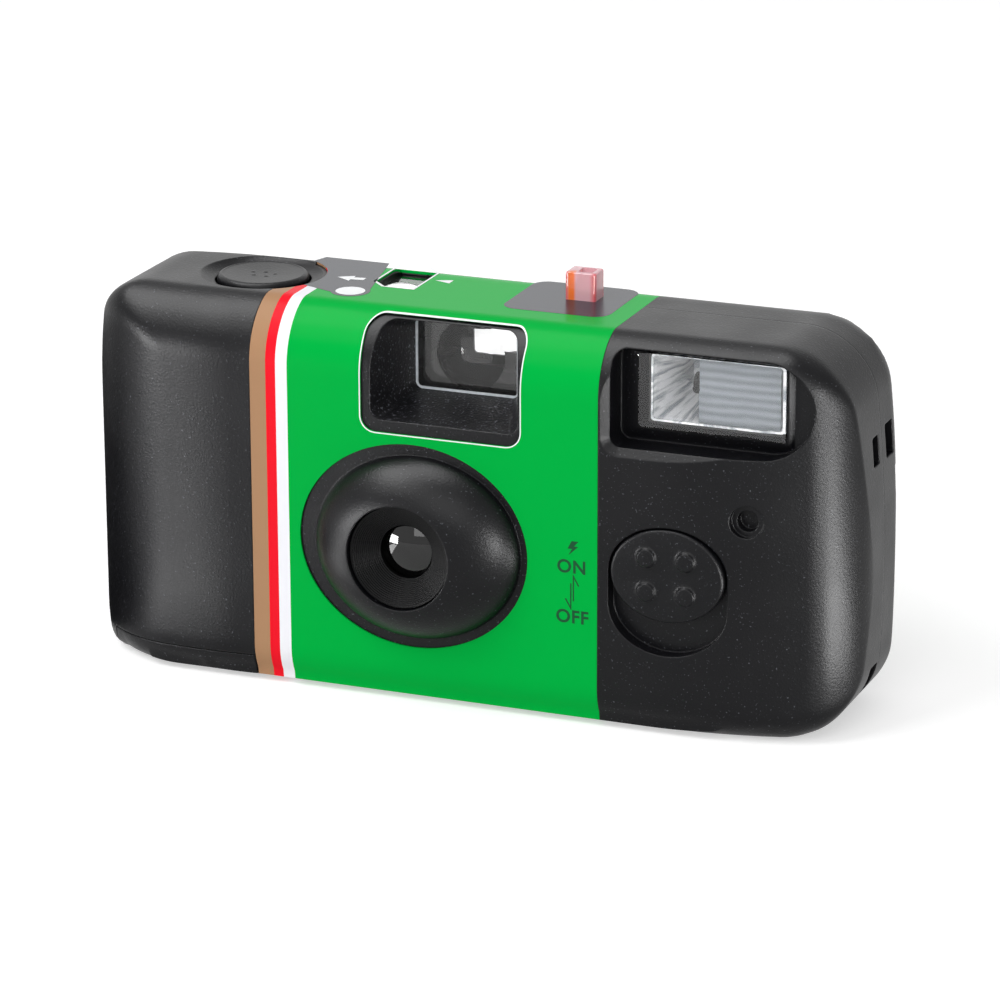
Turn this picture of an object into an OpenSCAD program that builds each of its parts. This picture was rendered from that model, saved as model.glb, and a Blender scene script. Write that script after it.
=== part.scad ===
// Disposable film camera with a built-in flash.
// Millimetres. +Z is up, the lens looks along -Y, +X is the flash side.
// The base stands on Z = 0 and the origin is under the middle of the case.

/* [Case] */
// Width over the two rounded ends
body_w = 108; // [107:0.5:112]
// Height of the flat top above the base
body_h = 52; // [51.5:0.25:54]
// Depth from the label face to the flat back
body_d = 26.5; // [26.2:0.1:27.2]
// Thickness of the moulded cover walls
wall = 1.2; // [1.1:0.05:1.3]
// Radius of the round shoulder along the top of the front
shoulder_r = 8.4; // [8:0.1:8.8]
// Distance of the joint between the two covers behind the label face
seam_back = 16.9; // [16:0.1:17.8]
// Depth of the finger dent in the left end
dent_depth = 0.7; // [0.4:0.1:0.8]

/* [Label] */
// Left edge of the label band
label_x0 = -27.1; // [-27.6:0.1:-26.6]
// Right edge of the label band
label_x1 = 21.1; // [20.6:0.1:21.5]
// Thickness of the label card
label_t = 0.25; // [0.2:0.05:0.3]

/* [Lens] */
// Sideways position of the lens axis
lens_x = -4.35; // [-4.8:0.05:-4]
// Height of the lens axis
lens_z = 21.7; // [21.4:0.1:22]
// Height of the dome's crest in front of the label
dome_h = 5.5; // [5:0.1:6]
// Half width of the dome at its foot
dome_a = 14.9; // [14.6:0.1:15.2]
// Half height of the dome at its foot
dome_b = 12.8; // [12.5:0.1:13]
// Radius of the opening in the dome
dome_bore_r = 7; // [6.8:0.1:7.2]
// Radius of the taking lens
lens_r = 4.4; // [4.2:0.1:4.5]

/* [Finder] */
// Sideways position of the finder axis
finder_x = -0.45; // [-0.7:0.05:-0.2]
// Height of the finder axis
finder_z = 45; // [44.9:0.05:45.1]
// Width of the objective window
finder_w = 14.4; // [14:0.1:14.8]
// Height of the objective window
finder_h = 9.6; // [9.2:0.1:9.8]
// Width of the finder opening in the front
finder_mouth_w = 19.9; // [19:0.1:20.4]
// Radius of the hollow in the objective
finder_curve_r = 10; // [9.5:0.1:12]

/* [Flash] */
// Left edge of the flash pocket
flash_x0 = 22.4; // [22.2:0.1:22.8]
// Right edge of the flash pocket
flash_x1 = 48.6; // [48:0.1:49]
// Lower edge of the flash pocket
flash_z0 = 38.1; // [37.9:0.1:38.4]
// Width of the flash window
window_w = 17.7; // [17:0.1:18.2]
// Height of the flash window
window_h = 8.8; // [8.4:0.1:9]

/* [Flash slider] */
// Sideways position of the slider
slider_x = 30.4; // [30.2:0.1:31]
// Height of the slider when the flash is on
slider_z = 21.9; // [21.6:0.1:22.2]
// Travel of the slider from on down to off
slider_travel = 4.3; // [4:0.1:4.4]
// Half width of the slider knob
knob_a = 7.6; // [7.4:0.05:7.8]
// Half height of the slider knob
knob_b = 6.2; // [6:0.05:6.4]

/* [Shutter button] */
// Sideways position of the button
button_x = -31.7; // [-32:0.1:-31.4]
// Distance of the button behind the label face
button_back = 14.9; // [14.7:0.1:15.1]
// Radius of the button
button_r = 6.1; // [5.9:0.1:6.3]
// Travel of the button
button_travel = 1; // [0.8:0.05:1.05]

/* [Film] */
// Diameter of the film cartridge
cartridge_d = 25; // [24.8:0.05:25.1]
// Height of the film cartridge's shell
cartridge_h = 41.5; // [41:0.1:41.8]
// Width of the film
film_w = 35; // [34.8:0.05:35.1]
// Radius of the wound film in the supply chamber
roll_r = 8.5; // [8.2:0.1:8.8]
// Radius of the winding wheel
wheel_r = 11; // [10.6:0.1:11.2]

/* [Fits] */
// Gap between pieces that slide or turn on each other
run_gap = 0.3; // [0.25:0.01:0.34]
// Gap round a turning pin
pin_gap = 0.08; // [0.06:0.01:0.1]
// Gap under the label for its glue
glue_gap = 0.03; // [0.02:0.01:0.05]

/* [Hidden] */
$fn = 64;
eps = 0.01;
far = 200;

// Case planes
cartridge_r = cartridge_d / 2;
chamber_gap = 0.3;
front_room = 0.8;
chamber_r = cartridge_r + chamber_gap;
bulge_r = chamber_r + wall;
total_d = dome_h + wall + front_room + cartridge_r + bulge_r;
y_dome = -total_d / 2;
y_f = y_dome + dome_h;
y_r = y_f + body_d;
x_l = -body_w / 2;
x_r = body_w / 2;
axis_x = x_l + 16;
axis_y = y_f + wall + front_room + cartridge_r;
seam_y = y_f + seam_back;
y_in = y_f + wall;
z_in = body_h - wall;
label_sink = label_t + glue_gap;

// Case rounds, front view
left_bow_r = 110;
left_bow_z = 22;
right_bow_r = 200;
right_bow_z = 20.5;
top_left_r = 5;
top_right_r = 8.5;
base_right_r = 9;
base_left_r = 4;
// Case rounds, plan
front_left_r = 14.7;
back_left_r = 11.8;
back_right_r = 5;
front_bend_x = 28;
front_bend_r = 61;
front_right_r = 6;
// A round starts this far past the point where it touches its neighbour
past_touch = 0.4;
// Case rounds, side view
shoulder_z = body_h - 0.957 * shoulder_r;
base_front_r = 1.6;
base_back_r = 2.5;
top_back_r = 2;

// Base flap
lid_x0 = x_l + 4.8;
lid_x1 = label_x0 - 0.2;
lid_h = 3.7;
lid_axis_y = y_r - 3.5;
lid_gap = 0.15;
lid_wall_end = lid_axis_y - 4;
knuckle_r = wall / 2;
knuckle_gap = 0.4;

// Button deck and wheel notch
button_y = y_f + button_back;
dish_r = button_r + 2.2;
dish_depth = 0.8;
deck_x1 = -22.6;
notch_x1 = label_x0 - 0.1;
deck_edge = [[deck_x1, 12.9], [notch_x1, 12.4], [-33, 12.2], [-46, 9.6], [x_l - 2, 8.2]];
wheel_t = 3;
cartridge_z0 = wall + 0.3;
cartridge_z1 = cartridge_z0 + cartridge_h;
roof_t = 1;
roof_z = cartridge_z1 + 0.2;
notch_z = roof_z + roof_t;
wheel_z0 = notch_z + run_gap;
wheel_z1 = wheel_z0 + wheel_t;

// Finder
finder_back = 9.6;
finder_mouth_z0 = 37.7;
finder_mouth_z1 = body_h - 1.6;
finder_border = 1;
y_objective = y_f + finder_back;
objective_t = 1.8;
eye_w = 9;
eye_h = 6.6;
eye_t = 1.4;
eye_lip = 1;

// Flash
flash_z1 = body_h - 1.5;
flash_floor = y_f + 4.9;
flash_wall = 1;
window_x = flash_x0 + 13.1;
window_z = flash_z0 + 7.3;
window_front = y_f + 3.8;
window_flange = 0.9;
skirt_left = 1.9;
skirt_low = 1.3;
skirt_edge = 0.4;
skirt_rise = 0.1;
reflector_d = 8.5;
tube_r = 1.5;

// Slider
slot_gap = 0.25;
slot_floor = y_f + 2;
floor_t = 1;
stem_w = 3;
stem_h = 2.6;
plate_y = slot_floor + floor_t + 0.15;
plate_t = 0.7;
link_z = 33.2;
link_h = 2.4;
guide_w = 4.15;
guide_d = 3.4;
guide_x = 12.35;
guide_y = y_f + 18.4;
guide_z1 = body_h + slider_travel - 0.6;
guide_z0 = 38;
post_t = 1.5;
bump_r = 1.2;
bump_dx = 2.65;
bump_dz = 2.3;

// Counter window on top
counter_x0 = -15.8;
counter_x1 = -10.2;
counter_y0 = y_f + 14.4;
counter_y1 = y_f + 24.3;
counter_cut = 2;
counter_lip = 0.8;
magnifier_r = 2.7;

// Film path
film_t = 0.15;
film_gap = 0.2;
film_in_shell = 6.6;
film_on_roll = 4;
film_y = y_r - wall - 0.4;
film_z0 = lens_z - film_w / 2;
gate_w = 36;
gate_h = 24;
gate_t = 1.4;
gate_y1 = film_y - film_t / 2 - 0.1;
gate_y0 = gate_y1 - gate_t;
gate_x0 = -27;
supply_x = 30;
gate_x1 = supply_x - roll_r;
supply_y = film_y - roll_r;
supply_wall = 0.9;
supply_room = 0.6;
supply_r = roll_r + supply_room + supply_wall;
supply_core_r = 5;
frame_z0 = wall + 0.4;
frame_over = 0.8;
frame_z1 = film_z0 + film_w + frame_over;
sprocket_x = -18.5;
sprocket_pitch_r = 6.05;
sprocket_y = film_y - sprocket_pitch_r;
sprocket_teeth = 8;
sprocket_t = 1.8;
sprocket_z = film_z0 + film_w - 2.9;
perf_pitch = 4.75;
perf_w = 2.8;
perf_h = 2;

// Mechanism plate in front of the light tunnel
plate_f = y_f + 6.5;
plate_b = plate_f + 1.2;
tunnel_front_w = 12;
tunnel_front_h = 9;
tunnel_wall = 1;
deck_z0 = frame_z1 + 1;
deck_t = 1.4;
deck_z1 = deck_z0 + deck_t;
deck_x0 = axis_x + cartridge_r + 0.5;
deck_x2 = -9.4;
pin_r = 0.8;
lever_t = 1.2;
lever_y1 = plate_f - 0.1;
lever_y0 = lever_y1 - lever_t;
blade_px = lens_x - 7;
blade_pz = lens_z + 7.5;
blade_t = 0.3;
blade_y1 = plate_f - 0.9;
aperture_r = 1.7;
strike_px = -15.4;
release_px = -22.4;
gear_z0 = deck_z1 + 2.1;
release_pz = gear_z0 - 1.1;
strike_pz = release_pz - 8.4;
release_h = 1.1;
release_reach = 3.3;
release_drop = 3.6;
peg_r = 0.5;
peg_z = release_pz + release_h + 0.1 + peg_r;
arm_z0 = wheel_z1 + button_travel + run_gap;
arm_t = 1.2;

// Counter disc
disc_x = -16.6;
disc_y = -0.4;
disc_r = 7.6;
disc_t = 0.9;
gear_t = 1.7;
disc_z0 = gear_z0 + gear_t;
finger_r = 1.3;
finger_w = 1;
gear_r = norm([sprocket_x - disc_x, sprocket_y - disc_y]) - norm([finger_r, finger_w / 2]) - 0.15;

// Power
battery_r = 5.25;
battery_l = 44.5;
battery_x0 = -24;
battery_y = y_in + 0.25 + battery_r;
battery_z = wall + 0.3 + battery_r;
contact_t = 0.4;
board_t = 1.2;
board_y0 = plate_y + plate_t + 0.35;
board_y1 = board_y0 + board_t;
board_x0 = 16.5;
board_x1 = 42.5;
board_z0 = 13.6;
board_z1 = 35.4;
capacitor_r = 4.6;
capacitor_l = 26;
capacitor_z0 = 8;
capacitor_edge = 8.6;
lead_t = 0.6;
lamp_r = 1.5;
lamp_l = 7;
lamp_z0 = 20;

// A box between two corners.
module span(p, q) {
    translate(p)
        cube(q - p);
}

// A plan in x and z carried from y0 to y1.
module along_y(y0, y1) {
    translate([0, y1, 0])
        rotate([90, 0, 0])
            linear_extrude(height = y1 - y0)
                children();
}

// A plan in y and z carried from x0 to x1.
module along_x(x0, x1) {
    translate([x0, 0, 0])
        rotate([90, 0, 90])
            linear_extrude(height = x1 - x0)
                children();
}

// A pin along Y.
module pin_y(x, z, r, y0, y1) {
    along_y(y0, y1)
        translate([x, z])
            circle(r);
}

// A pin along Z.
module pin_z(x, y, r, z0, z1) {
    translate([x, y, z0])
        cylinder(r = r, h = z1 - z0);
}

// A rectangle from p to q with round corners.
module round_rect(p, q, r) {
    translate([p[0] + r, p[1]])
        square([q[0] - p[0] - 2 * r, q[1] - p[1]]);
    translate([p[0], p[1] + r])
        square([q[0] - p[0], q[1] - p[1] - 2 * r]);
    for (x = [p[0] + r, q[0] - r], y = [p[1] + r, q[1] - r])
        translate([x, y])
            circle(r);
}

// Points of an ellipse.
function oval(a, b, n) = [for (i = [0 : n - 1]) [a * cos(360 * i / n), b * sin(360 * i / n)]];

// What lies outside a round of radius r about c, in the quarter that starts at corner k.
module corner_off(c, r, k, dx, dy) {
    difference() {
        translate([dx > 0 ? k[0] : k[0] - far, dy > 0 ? k[1] : k[1] - far])
            square(far);
        translate(c)
            circle(r);
    }
}

// Corner of the front view between a bowed side and a flat edge.
module bow_corner(side, bow_r, bow_z, r, up, i) {
    bow_x = side * (body_w / 2 - bow_r);
    c_z = up > 0 ? body_h - r : r;
    c_x = bow_x + side * sqrt(pow(bow_r - r, 2) - pow(c_z - bow_z, 2));
    k_z = bow_z + (c_z - bow_z) * bow_r / (bow_r - r);
    corner_off([c_x, c_z], max(r - i, 0.4), [c_x, k_z + up * past_touch], side, up);
}

// Front view of the case, in x and z, drawn in by i.
module front_view(i) {
    difference() {
        intersection() {
            translate([x_l - 1, i])
                square([body_w + 2, body_h - 2 * i]);
            translate([x_l + left_bow_r, left_bow_z])
                circle(left_bow_r - i, $fn = 256);
            translate([x_r - right_bow_r, right_bow_z])
                circle(right_bow_r - i, $fn = 256);
        }
        bow_corner(-1, left_bow_r, left_bow_z, top_left_r, 1, i);
        bow_corner(-1, left_bow_r, left_bow_z, base_left_r, -1, i);
        bow_corner(1, right_bow_r, right_bow_z, top_right_r, 1, i);
        bow_corner(1, right_bow_r, right_bow_z, base_right_r, -1, i);
    }
}

// Plan of the case, in x and y, drawn in by i.
module plan_view(i) {
    bend = [front_bend_x, y_f + front_bend_r];
    f_x = x_r - front_right_r;
    reach = front_bend_r - front_right_r;
    f_y = bend[1] - sqrt(pow(reach, 2) - pow(f_x - bend[0], 2));
    t_x = bend[0] + (f_x - bend[0]) * front_bend_r / reach;
    fl = [x_l + front_left_r, y_f + front_left_r];
    bl = [x_l + back_left_r, y_r - back_left_r];
    br = [x_r - back_right_r, y_r - back_right_r];
    difference() {
        translate([x_l + i, y_f + i])
            square([body_w - 2 * i, body_d - 2 * i]);
        corner_off(fl, front_left_r - i, fl, -1, -1);
        corner_off(bl, back_left_r - i, bl, -1, 1);
        corner_off(br, back_right_r - i, br, 1, 1);
        difference() {
            translate([front_bend_x, y_f - 1])
                square([body_w, body_d / 2]);
            translate(bend)
                circle(front_bend_r - i, $fn = 256);
        }
        corner_off([f_x, f_y], front_right_r - i, [t_x + past_touch, f_y], 1, -1);
    }
}

// Side view of the case, in y and z, drawn in by i.
module side_view(i) {
    s = [y_f + shoulder_r, shoulder_z];
    fb = [y_f + base_front_r, base_front_r];
    bb = [y_r - base_back_r, base_back_r];
    bt = [y_r - top_back_r, body_h - top_back_r];
    difference() {
        translate([y_f + i, i])
            square([body_d - 2 * i, body_h - 2 * i]);
        corner_off(s, shoulder_r - i, s, -1, 1);
        corner_off(fb, max(base_front_r - i, 0.4), fb, -1, -1);
        corner_off(bb, base_back_r - i, bb, 1, -1);
        corner_off(bt, top_back_r - i, bt, 1, 1);
    }
}

// The case as one closed form, drawn in by i.
module envelope(i) {
    intersection() {
        along_y(y_f - 1, y_r + 1)
            front_view(i);
        translate([0, 0, -1])
            linear_extrude(height = body_h + 2)
                plan_view(i);
        along_x(x_l - 1, x_r + 1)
            side_view(i);
    }
}

// The case with the shallow step that the label lies in.
module stepped_case() {
    difference() {
        envelope(0);
        difference() {
            span([label_x0, y_f - 1, -1], [label_x1, y_r + 1, body_h + 1]);
            envelope(label_sink);
        }
    }
}

// Space of the front cover: all in front of the joint, and the button deck behind it.
module front_space() {
    span([x_l - 2, y_f - 2, -2], [x_r + 2, seam_y, body_h + 2]);
    translate([0, 0, wheel_z1 + run_gap])
        linear_extrude(height = body_h)
            polygon(concat([[x_l - 2, seam_y - 1], [deck_x1, seam_y - 1]], deck_edge));
}

// Space of the base flap, grown by g, and by k round its knuckle. Only the floor reaches the knuckle.
module lid_space(g, k) {
    span([lid_x0 - g, y_f - 1, -1], [lid_x1 + g, lid_wall_end + g, lid_h + g]);
    span([lid_x0 - g, y_f - 1, -1], [lid_x1 + g, lid_axis_y, wall + g]);
    along_x(lid_x0 - g, lid_x1 + g)
        translate([lid_axis_y, knuckle_r])
            circle(knuckle_r + k);
}

// Holes through the top: counter window and light guide.
module top_holes(g) {
    x0 = counter_x0 - g;
    x1 = counter_x1 + g;
    y0 = counter_y0 - g;
    y1 = counter_y1 + g;
    k = counter_cut;
    translate([0, 0, z_in - 1])
        linear_extrude(height = 4)
            polygon([[x0 + k, y0], [x1, y0], [x1, y1 - k], [x1 - k, y1], [x0, y1], [x0, y0 + k]]);
    span([guide_x - guide_w / 2 - run_gap - g, guide_y - guide_d / 2 - run_gap - g, z_in - 1],
        [guide_x + guide_w / 2 + run_gap + g, guide_y + guide_d / 2 + run_gap + g, body_h + 2]);
}

// A plate of the finder pocket, in x and z, at depth y.
module pocket_plate(w, z0, z1, y, r) {
    along_y(y - 0.05, y)
        round_rect([finder_x - w / 2, z0], [finder_x + w / 2, z1], r);
}

// The tapered finder pocket, grown by g.
module finder_pocket(g) {
    hull() {
        pocket_plate(finder_mouth_w + 2 * g, finder_mouth_z0 - g, finder_mouth_z1 + g, y_f, 1.6);
        pocket_plate(finder_w + 2 * g, finder_z - finder_h / 2 - g, finder_z + finder_h / 2 + g,
            y_objective, 1.2);
    }
    along_y(y_f - 2, y_f)
        round_rect([finder_x - finder_mouth_w / 2 - g, finder_mouth_z0 - g],
            [finder_x + finder_mouth_w / 2 + g, finder_mouth_z1 + g], 1.6);
}

// The flash pocket, round at its right end, grown by g, in x and z.
module flash_outline(g) {
    r = (flash_z1 - flash_z0) / 2;
    round_rect([flash_x0 - g, flash_z0 - g], [flash_x1 - r, flash_z1 + g], 1.5 + g);
    translate([flash_x1 - r, (flash_z0 + flash_z1) / 2])
        circle(r + g);
    translate([flash_x1 - 2 * r, flash_z0 - g])
        square([r, 2 * r + 2 * g]);
}

// The slider's recess: the knob's oval carried over its travel, grown by g, in x and z.
module slider_outline(g) {
    for (z = [slider_z, slider_z - slider_travel])
        translate([slider_x, z])
            polygon(oval(knob_a + g, knob_b + g, 48));
    translate([slider_x - knob_a - g, slider_z - slider_travel])
        square([2 * (knob_a + g), slider_travel]);
}

// The lens dome: an arc over an oval foot, from the foot to the edge of the opening.
dome_end = 136;
dome_swell = 0.8;
dome_rows = 9;
dome_sides = 48;
dome_lip_r = dome_bore_r - 0.5;
function dome_ring(k) = let (f = dome_end * k / dome_rows, s = (1 - cos(f)) / (1 - cos(dome_end)))
    [for (p = oval(dome_a + (dome_lip_r - dome_a) * s, dome_b + (dome_lip_r - dome_b) * s, dome_sides))
        [lens_x + p[0], y_f - dome_h * pow(sin(f), dome_swell), lens_z + p[1]]];
function dome_foot() = [for (p = oval(dome_a, dome_b, dome_sides))
    [lens_x + p[0], y_f + wall, lens_z + p[1]]];

module dome() {
    n = dome_sides;
    rings = [dome_foot(), for (k = [0 : dome_rows]) dome_ring(k)];
    m = len(rings);
    points = [for (r = rings) each r];
    sides = [for (k = [0 : m - 2], i = [0 : n - 1], t = [0, 1])
        let (a = k * n + i, b = k * n + (i + 1) % n, c = a + n, d = b + n)
        t == 0 ? [a, d, b] : [a, c, d]];
    caps = [[for (i = [0 : n - 1]) i], [for (i = [n - 1 : -1 : 0]) (m - 1) * n + i]];
    polyhedron(points = points, faces = concat(sides, caps));
}

// Latch windows in the right end: y and z limits.
latch_front = [[1.7, 4.2, 35, 38.9], [1.9, 4.9, 4.4, 8]];
latch_back = [[7, 10.2, 34.8, 39.3], [10.6, 12.6, 29.4, 33], [10.9, 13, 7.8, 11.6]];

module latches(list) {
    for (w = list)
        span([x_r - 4, w[0], w[2]], [x_r + 2, w[1], w[3]]);
}

tool_x = 40.55;
tool_z = 29.95;
tool_r = 1.4;
tool_step_r = 2.15;
tool_step = 0.6;

module front_cover() {
    color([0.07, 0.07, 0.075])
        difference() {
            union() {
                intersection() {
                    difference() {
                        stepped_case();
                        envelope(wall);
                    }
                    front_space();
                }
                dome();
                intersection() {
                    envelope(label_sink);
                    union() {
                        difference() {
                            finder_pocket(finder_border);
                            span([x_l, y_objective, 0], [x_r, y_r, body_h]);
                        }
                        along_y(y_f, flash_floor + flash_wall)
                            flash_outline(flash_wall);
                        along_y(y_f, slot_floor + floor_t)
                            slider_outline(slot_gap + 0.9);
                        button_ring();
                        deck_skirt();
                    }
                }
            }
            pin_y(lens_x, lens_z, dome_bore_r, y_dome - 1, y_in + 1);
            difference() {
                pin_y(lens_x, lens_z, dome_bore_r + 3.4, y_f - 2.6, y_in + 1);
                pin_y(lens_x, lens_z, dome_bore_r + 1.1, y_f - 3, y_in + 1);
            }
            finder_pocket(0);
            along_y(y_f - 1, flash_floor)
                flash_outline(0);
            along_y(y_f, flash_floor + 2)
                window_outline(slot_gap);
            along_y(y_f - 1, slot_floor)
                slider_outline(slot_gap);
            span([slider_x - stem_w / 2 - run_gap, y_f, slider_z - slider_travel - stem_h / 2 - run_gap],
                [slider_x + stem_w / 2 + run_gap, plate_y, slider_z + stem_h / 2 + run_gap]);
            pin_y(tool_x, tool_z, tool_r, y_f, y_in + 2);
            pin_y(tool_x, tool_z, tool_step_r, y_f - 1, front_at(tool_x) + tool_step);
            pin_z(axis_x, axis_y, chamber_r, wall, roof_z);
            pin_z(button_x, button_y, button_r + run_gap, arm_z0, body_h + 1);
            translate([button_x, button_y, body_h - dish_depth])
                cylinder(r1 = button_r + 0.9, r2 = dish_r, h = dish_depth + eps);
            lid_space(lid_gap, knuckle_gap);
            top_holes(0);
            finger_dent();
            latches(latch_front);
        }
}

// Depth of the curved front at x, right of the bend.
function front_at(x) = y_f + front_bend_r - sqrt(pow(front_bend_r, 2) - pow(x - front_bend_x, 2));

// Stiff ring under the button dish.
module button_ring() {
    intersection() {
        pin_z(button_x, button_y, dish_r + 0.6, arm_z0 + arm_t + 0.15, body_h);
        front_space();
    }
}

// Wall that closes the button deck over the wheel.
module deck_skirt() {
    translate([0, 0, wheel_z1 + run_gap])
        linear_extrude(height = z_in - wheel_z1)
            difference() {
                polygon(concat([[x_l - 2, seam_y], [deck_x1, seam_y]], deck_edge));
                translate([0, -wall])
                    polygon(concat([[x_l - 3, seam_y], [deck_x1 + 1, seam_y]],
                        [[deck_x1 + 1, 12.9]], deck_edge, [[x_l - 3, 8.2]]));
            }
}

// Groove for the fingers across the left end.
module finger_dent() {
    groove_r = 6;
    along_y(y_f - 1, axis_y + 6)
        translate([x_l - groove_r + dent_depth, left_bow_z])
            circle(groove_r);
}

module window_outline(g) {
    translate([window_x - window_w / 2 - g, window_z - window_h / 2 - g])
        square([window_w + 2 * g, window_h + 2 * g]);
}

module rear_cover() {
    color([0.06, 0.06, 0.065])
        difference() {
            union() {
                intersection() {
                    stepped_case();
                    span([x_l - 2, seam_y, -2], [x_r + 2, y_r + 2, body_h + 2]);
                }
                intersection() {
                    pin_z(axis_x, axis_y, bulge_r, base_back_r, notch_z);
                    span([x_l, seam_y, 0], [label_x0 - 0.3, y_r + 10, body_h]);
                }
            }
            difference() {
                envelope(wall);
                span([x_l, seam_y, roof_z], [notch_x1 + wall, y_r, notch_z]);
                span([notch_x1, deck_edge[0][1] - 3, roof_z], [notch_x1 + wall, y_r, body_h]);
            }
            pin_z(axis_x, axis_y, chamber_r, wall, roof_z);
            pin_z(axis_x, axis_y, 4.6, roof_z - 1, notch_z + 1);
            front_space();
            span([x_l - 2, seam_y - 1, notch_z], [notch_x1, y_r + 3, body_h + 2]);
            lid_space(lid_gap, knuckle_gap);
            top_holes(0);
            along_y(film_y, y_r + 1)
                round_rect([finder_x - eye_w / 2, finder_z - eye_h / 2],
                    [finder_x + eye_w / 2, finder_z + eye_h / 2], 0.8);
            finger_dent();
            latches(latch_back);
        }
}

module cartridge_lid() {
    color([0.065, 0.065, 0.07])
        intersection() {
            union() {
                difference() {
                    envelope(0);
                    envelope(wall);
                }
                along_x(lid_x0, lid_x1)
                    translate([lid_axis_y, knuckle_r])
                        circle(knuckle_r);
            }
            lid_space(0, 0);
        }
}

module label_band() {
    color([0, 0.62, 0.27])
        difference() {
            intersection() {
                envelope(0);
                span([label_x0 + glue_gap, y_f - 1, -1], [label_x1 - glue_gap, y_r + 1, body_h + 1]);
            }
            envelope(label_t);
            along_y(y_f - 1, 0)
                round_rect([finder_x - finder_mouth_w / 2 - finder_border, finder_mouth_z0 - finder_border],
                    [finder_x + finder_mouth_w / 2 + finder_border, finder_mouth_z1 + 0.6], 2);
            along_y(y_f - 1, 0)
                translate([lens_x, lens_z])
                    polygon(oval(dome_a + 1, dome_b + 1, 64));
            along_y(film_y, y_r + 1)
                round_rect([finder_x - eye_w / 2 - 1, finder_z - eye_h / 2 - 1],
                    [finder_x + eye_w / 2 + 1, finder_z + eye_h / 2 + 1], 1.2);
            top_holes(0.2);
            pin_z(button_x, button_y, dish_r + 0.2, body_h - 2, body_h + 1);
        }
}

module shutter_button() {
    arm_dx = release_px - release_reach - button_x;
    arm_dy = lever_y0 + lever_t / 2 - button_y;
    arm_l = sqrt(pow(arm_dx, 2) + pow(arm_dy, 2));
    color([0.08, 0.08, 0.085]) {
        pin_z(button_x, button_y, button_r, z_in - 0.2, body_h - 0.3);
        translate([button_x, button_y, body_h - 0.3])
            cylinder(r1 = button_r, r2 = button_r - 0.5, h = 0.3);
        pin_z(button_x, button_y, 3, arm_z0, z_in);
        translate([button_x, button_y, arm_z0])
            rotate([0, 0, atan2(arm_dy, arm_dx)])
                translate([0, -1, 0])
                    cube([arm_l + 0.5, 2, arm_t]);
        span([button_x + arm_dx - 0.5, lever_y0, peg_z],
            [button_x + arm_dx + 0.5, lever_y1, arm_z0 + arm_t]);
        pin_y(button_x + arm_dx, peg_z, peg_r, lever_y0, lever_y1);
    }
}

module release_lever() {
    color([0.85, 0.85, 0.82])
        difference() {
            union() {
                pin_y(release_px, release_pz, 1.7, lever_y0, lever_y1);
                span([release_px - release_reach - 0.8, lever_y0, release_pz - 0.5],
                    [release_px, lever_y1, release_pz + release_h]);
                span([release_px - 0.4, lever_y0, release_pz - release_drop],
                    [release_px + 1.2, lever_y1, release_pz]);
            }
            pin_y(release_px, release_pz, pin_r + pin_gap, lever_y0 - 1, lever_y1 + 1);
        }
}

module strike_lever() {
    color([0.8, 0.8, 0.78])
        difference() {
            union() {
                pin_y(strike_px, strike_pz, 1.9, lever_y0, lever_y1);
                along_y(lever_y0, lever_y1)
                    polygon([[strike_px - 1.2, strike_pz], [strike_px - 3.6, strike_pz + 4.2],
                        [strike_px - 2.2, strike_pz + 4.8], [strike_px + 0.8, strike_pz + 0.6]]);
                along_y(lever_y0, lever_y1)
                    polygon([[strike_px - 1.4, strike_pz], [strike_px - 1, strike_pz - 4.6],
                        [strike_px + 0.6, strike_pz - 4.6], [strike_px + 1.4, strike_pz]]);
            }
            pin_y(strike_px, strike_pz, pin_r + pin_gap, lever_y0 - 1, lever_y1 + 1);
        }
}

module shutter_blade() {
    color([0.2, 0.2, 0.21])
        difference() {
            union() {
                pin_y(blade_px, blade_pz, 1.6, blade_y1 - blade_t, plate_f - 0.1);
                along_y(blade_y1 - blade_t, blade_y1) {
                    hull() {
                        translate([blade_px, blade_pz])
                            circle(1.8);
                        translate([lens_x, lens_z])
                            circle(3.2);
                    }
                    polygon([[blade_px - 1.2, blade_pz - 0.6], [blade_px - 2.4, blade_pz + 2.4],
                        [blade_px - 1.4, blade_pz + 2.8], [blade_px + 0.8, blade_pz + 1]]);
                }
            }
            pin_y(blade_px, blade_pz, pin_r + pin_gap, plate_f - 6, plate_f + 1);
        }
}

// A wire coil about an axis along Y, with one straight leg.
coil_r = 1.35;
wire_r = 0.13;
coil_turns = 3;
coil_steps = 12;
wire_sides = 6;

module coil(x, z, y0) {
    pitch = 0.34;
    n = coil_turns * coil_steps;
    w = wire_sides;
    points = [for (k = [0 : n], j = [0 : w - 1])
        let (a = 360 * k / coil_steps, b = 360 * j / w, r = coil_r + wire_r * cos(b))
        [x + r * cos(a), y0 - pitch * k / coil_steps + wire_r * sin(b), z + r * sin(a)]];
    sides = [for (k = [0 : n - 1], j = [0 : w - 1], t = [0, 1])
        let (a = k * w + j, b = k * w + (j + 1) % w, c = a + w, d = b + w)
        t == 0 ? [a, c, d] : [a, d, b]];
    caps = [[for (j = [0 : w - 1]) j], [for (j = [w - 1 : -1 : 0]) n * w + j]];
    polyhedron(points = points, faces = concat(sides, caps));
}

module blade_spring() {
    color([0.75, 0.76, 0.78])
        coil(blade_px, blade_pz, blade_y1 - blade_t - 0.3);
}

module lever_spring() {
    color([0.75, 0.76, 0.78])
        coil(strike_px, strike_pz, lever_y0 - 0.3);
}

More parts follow.
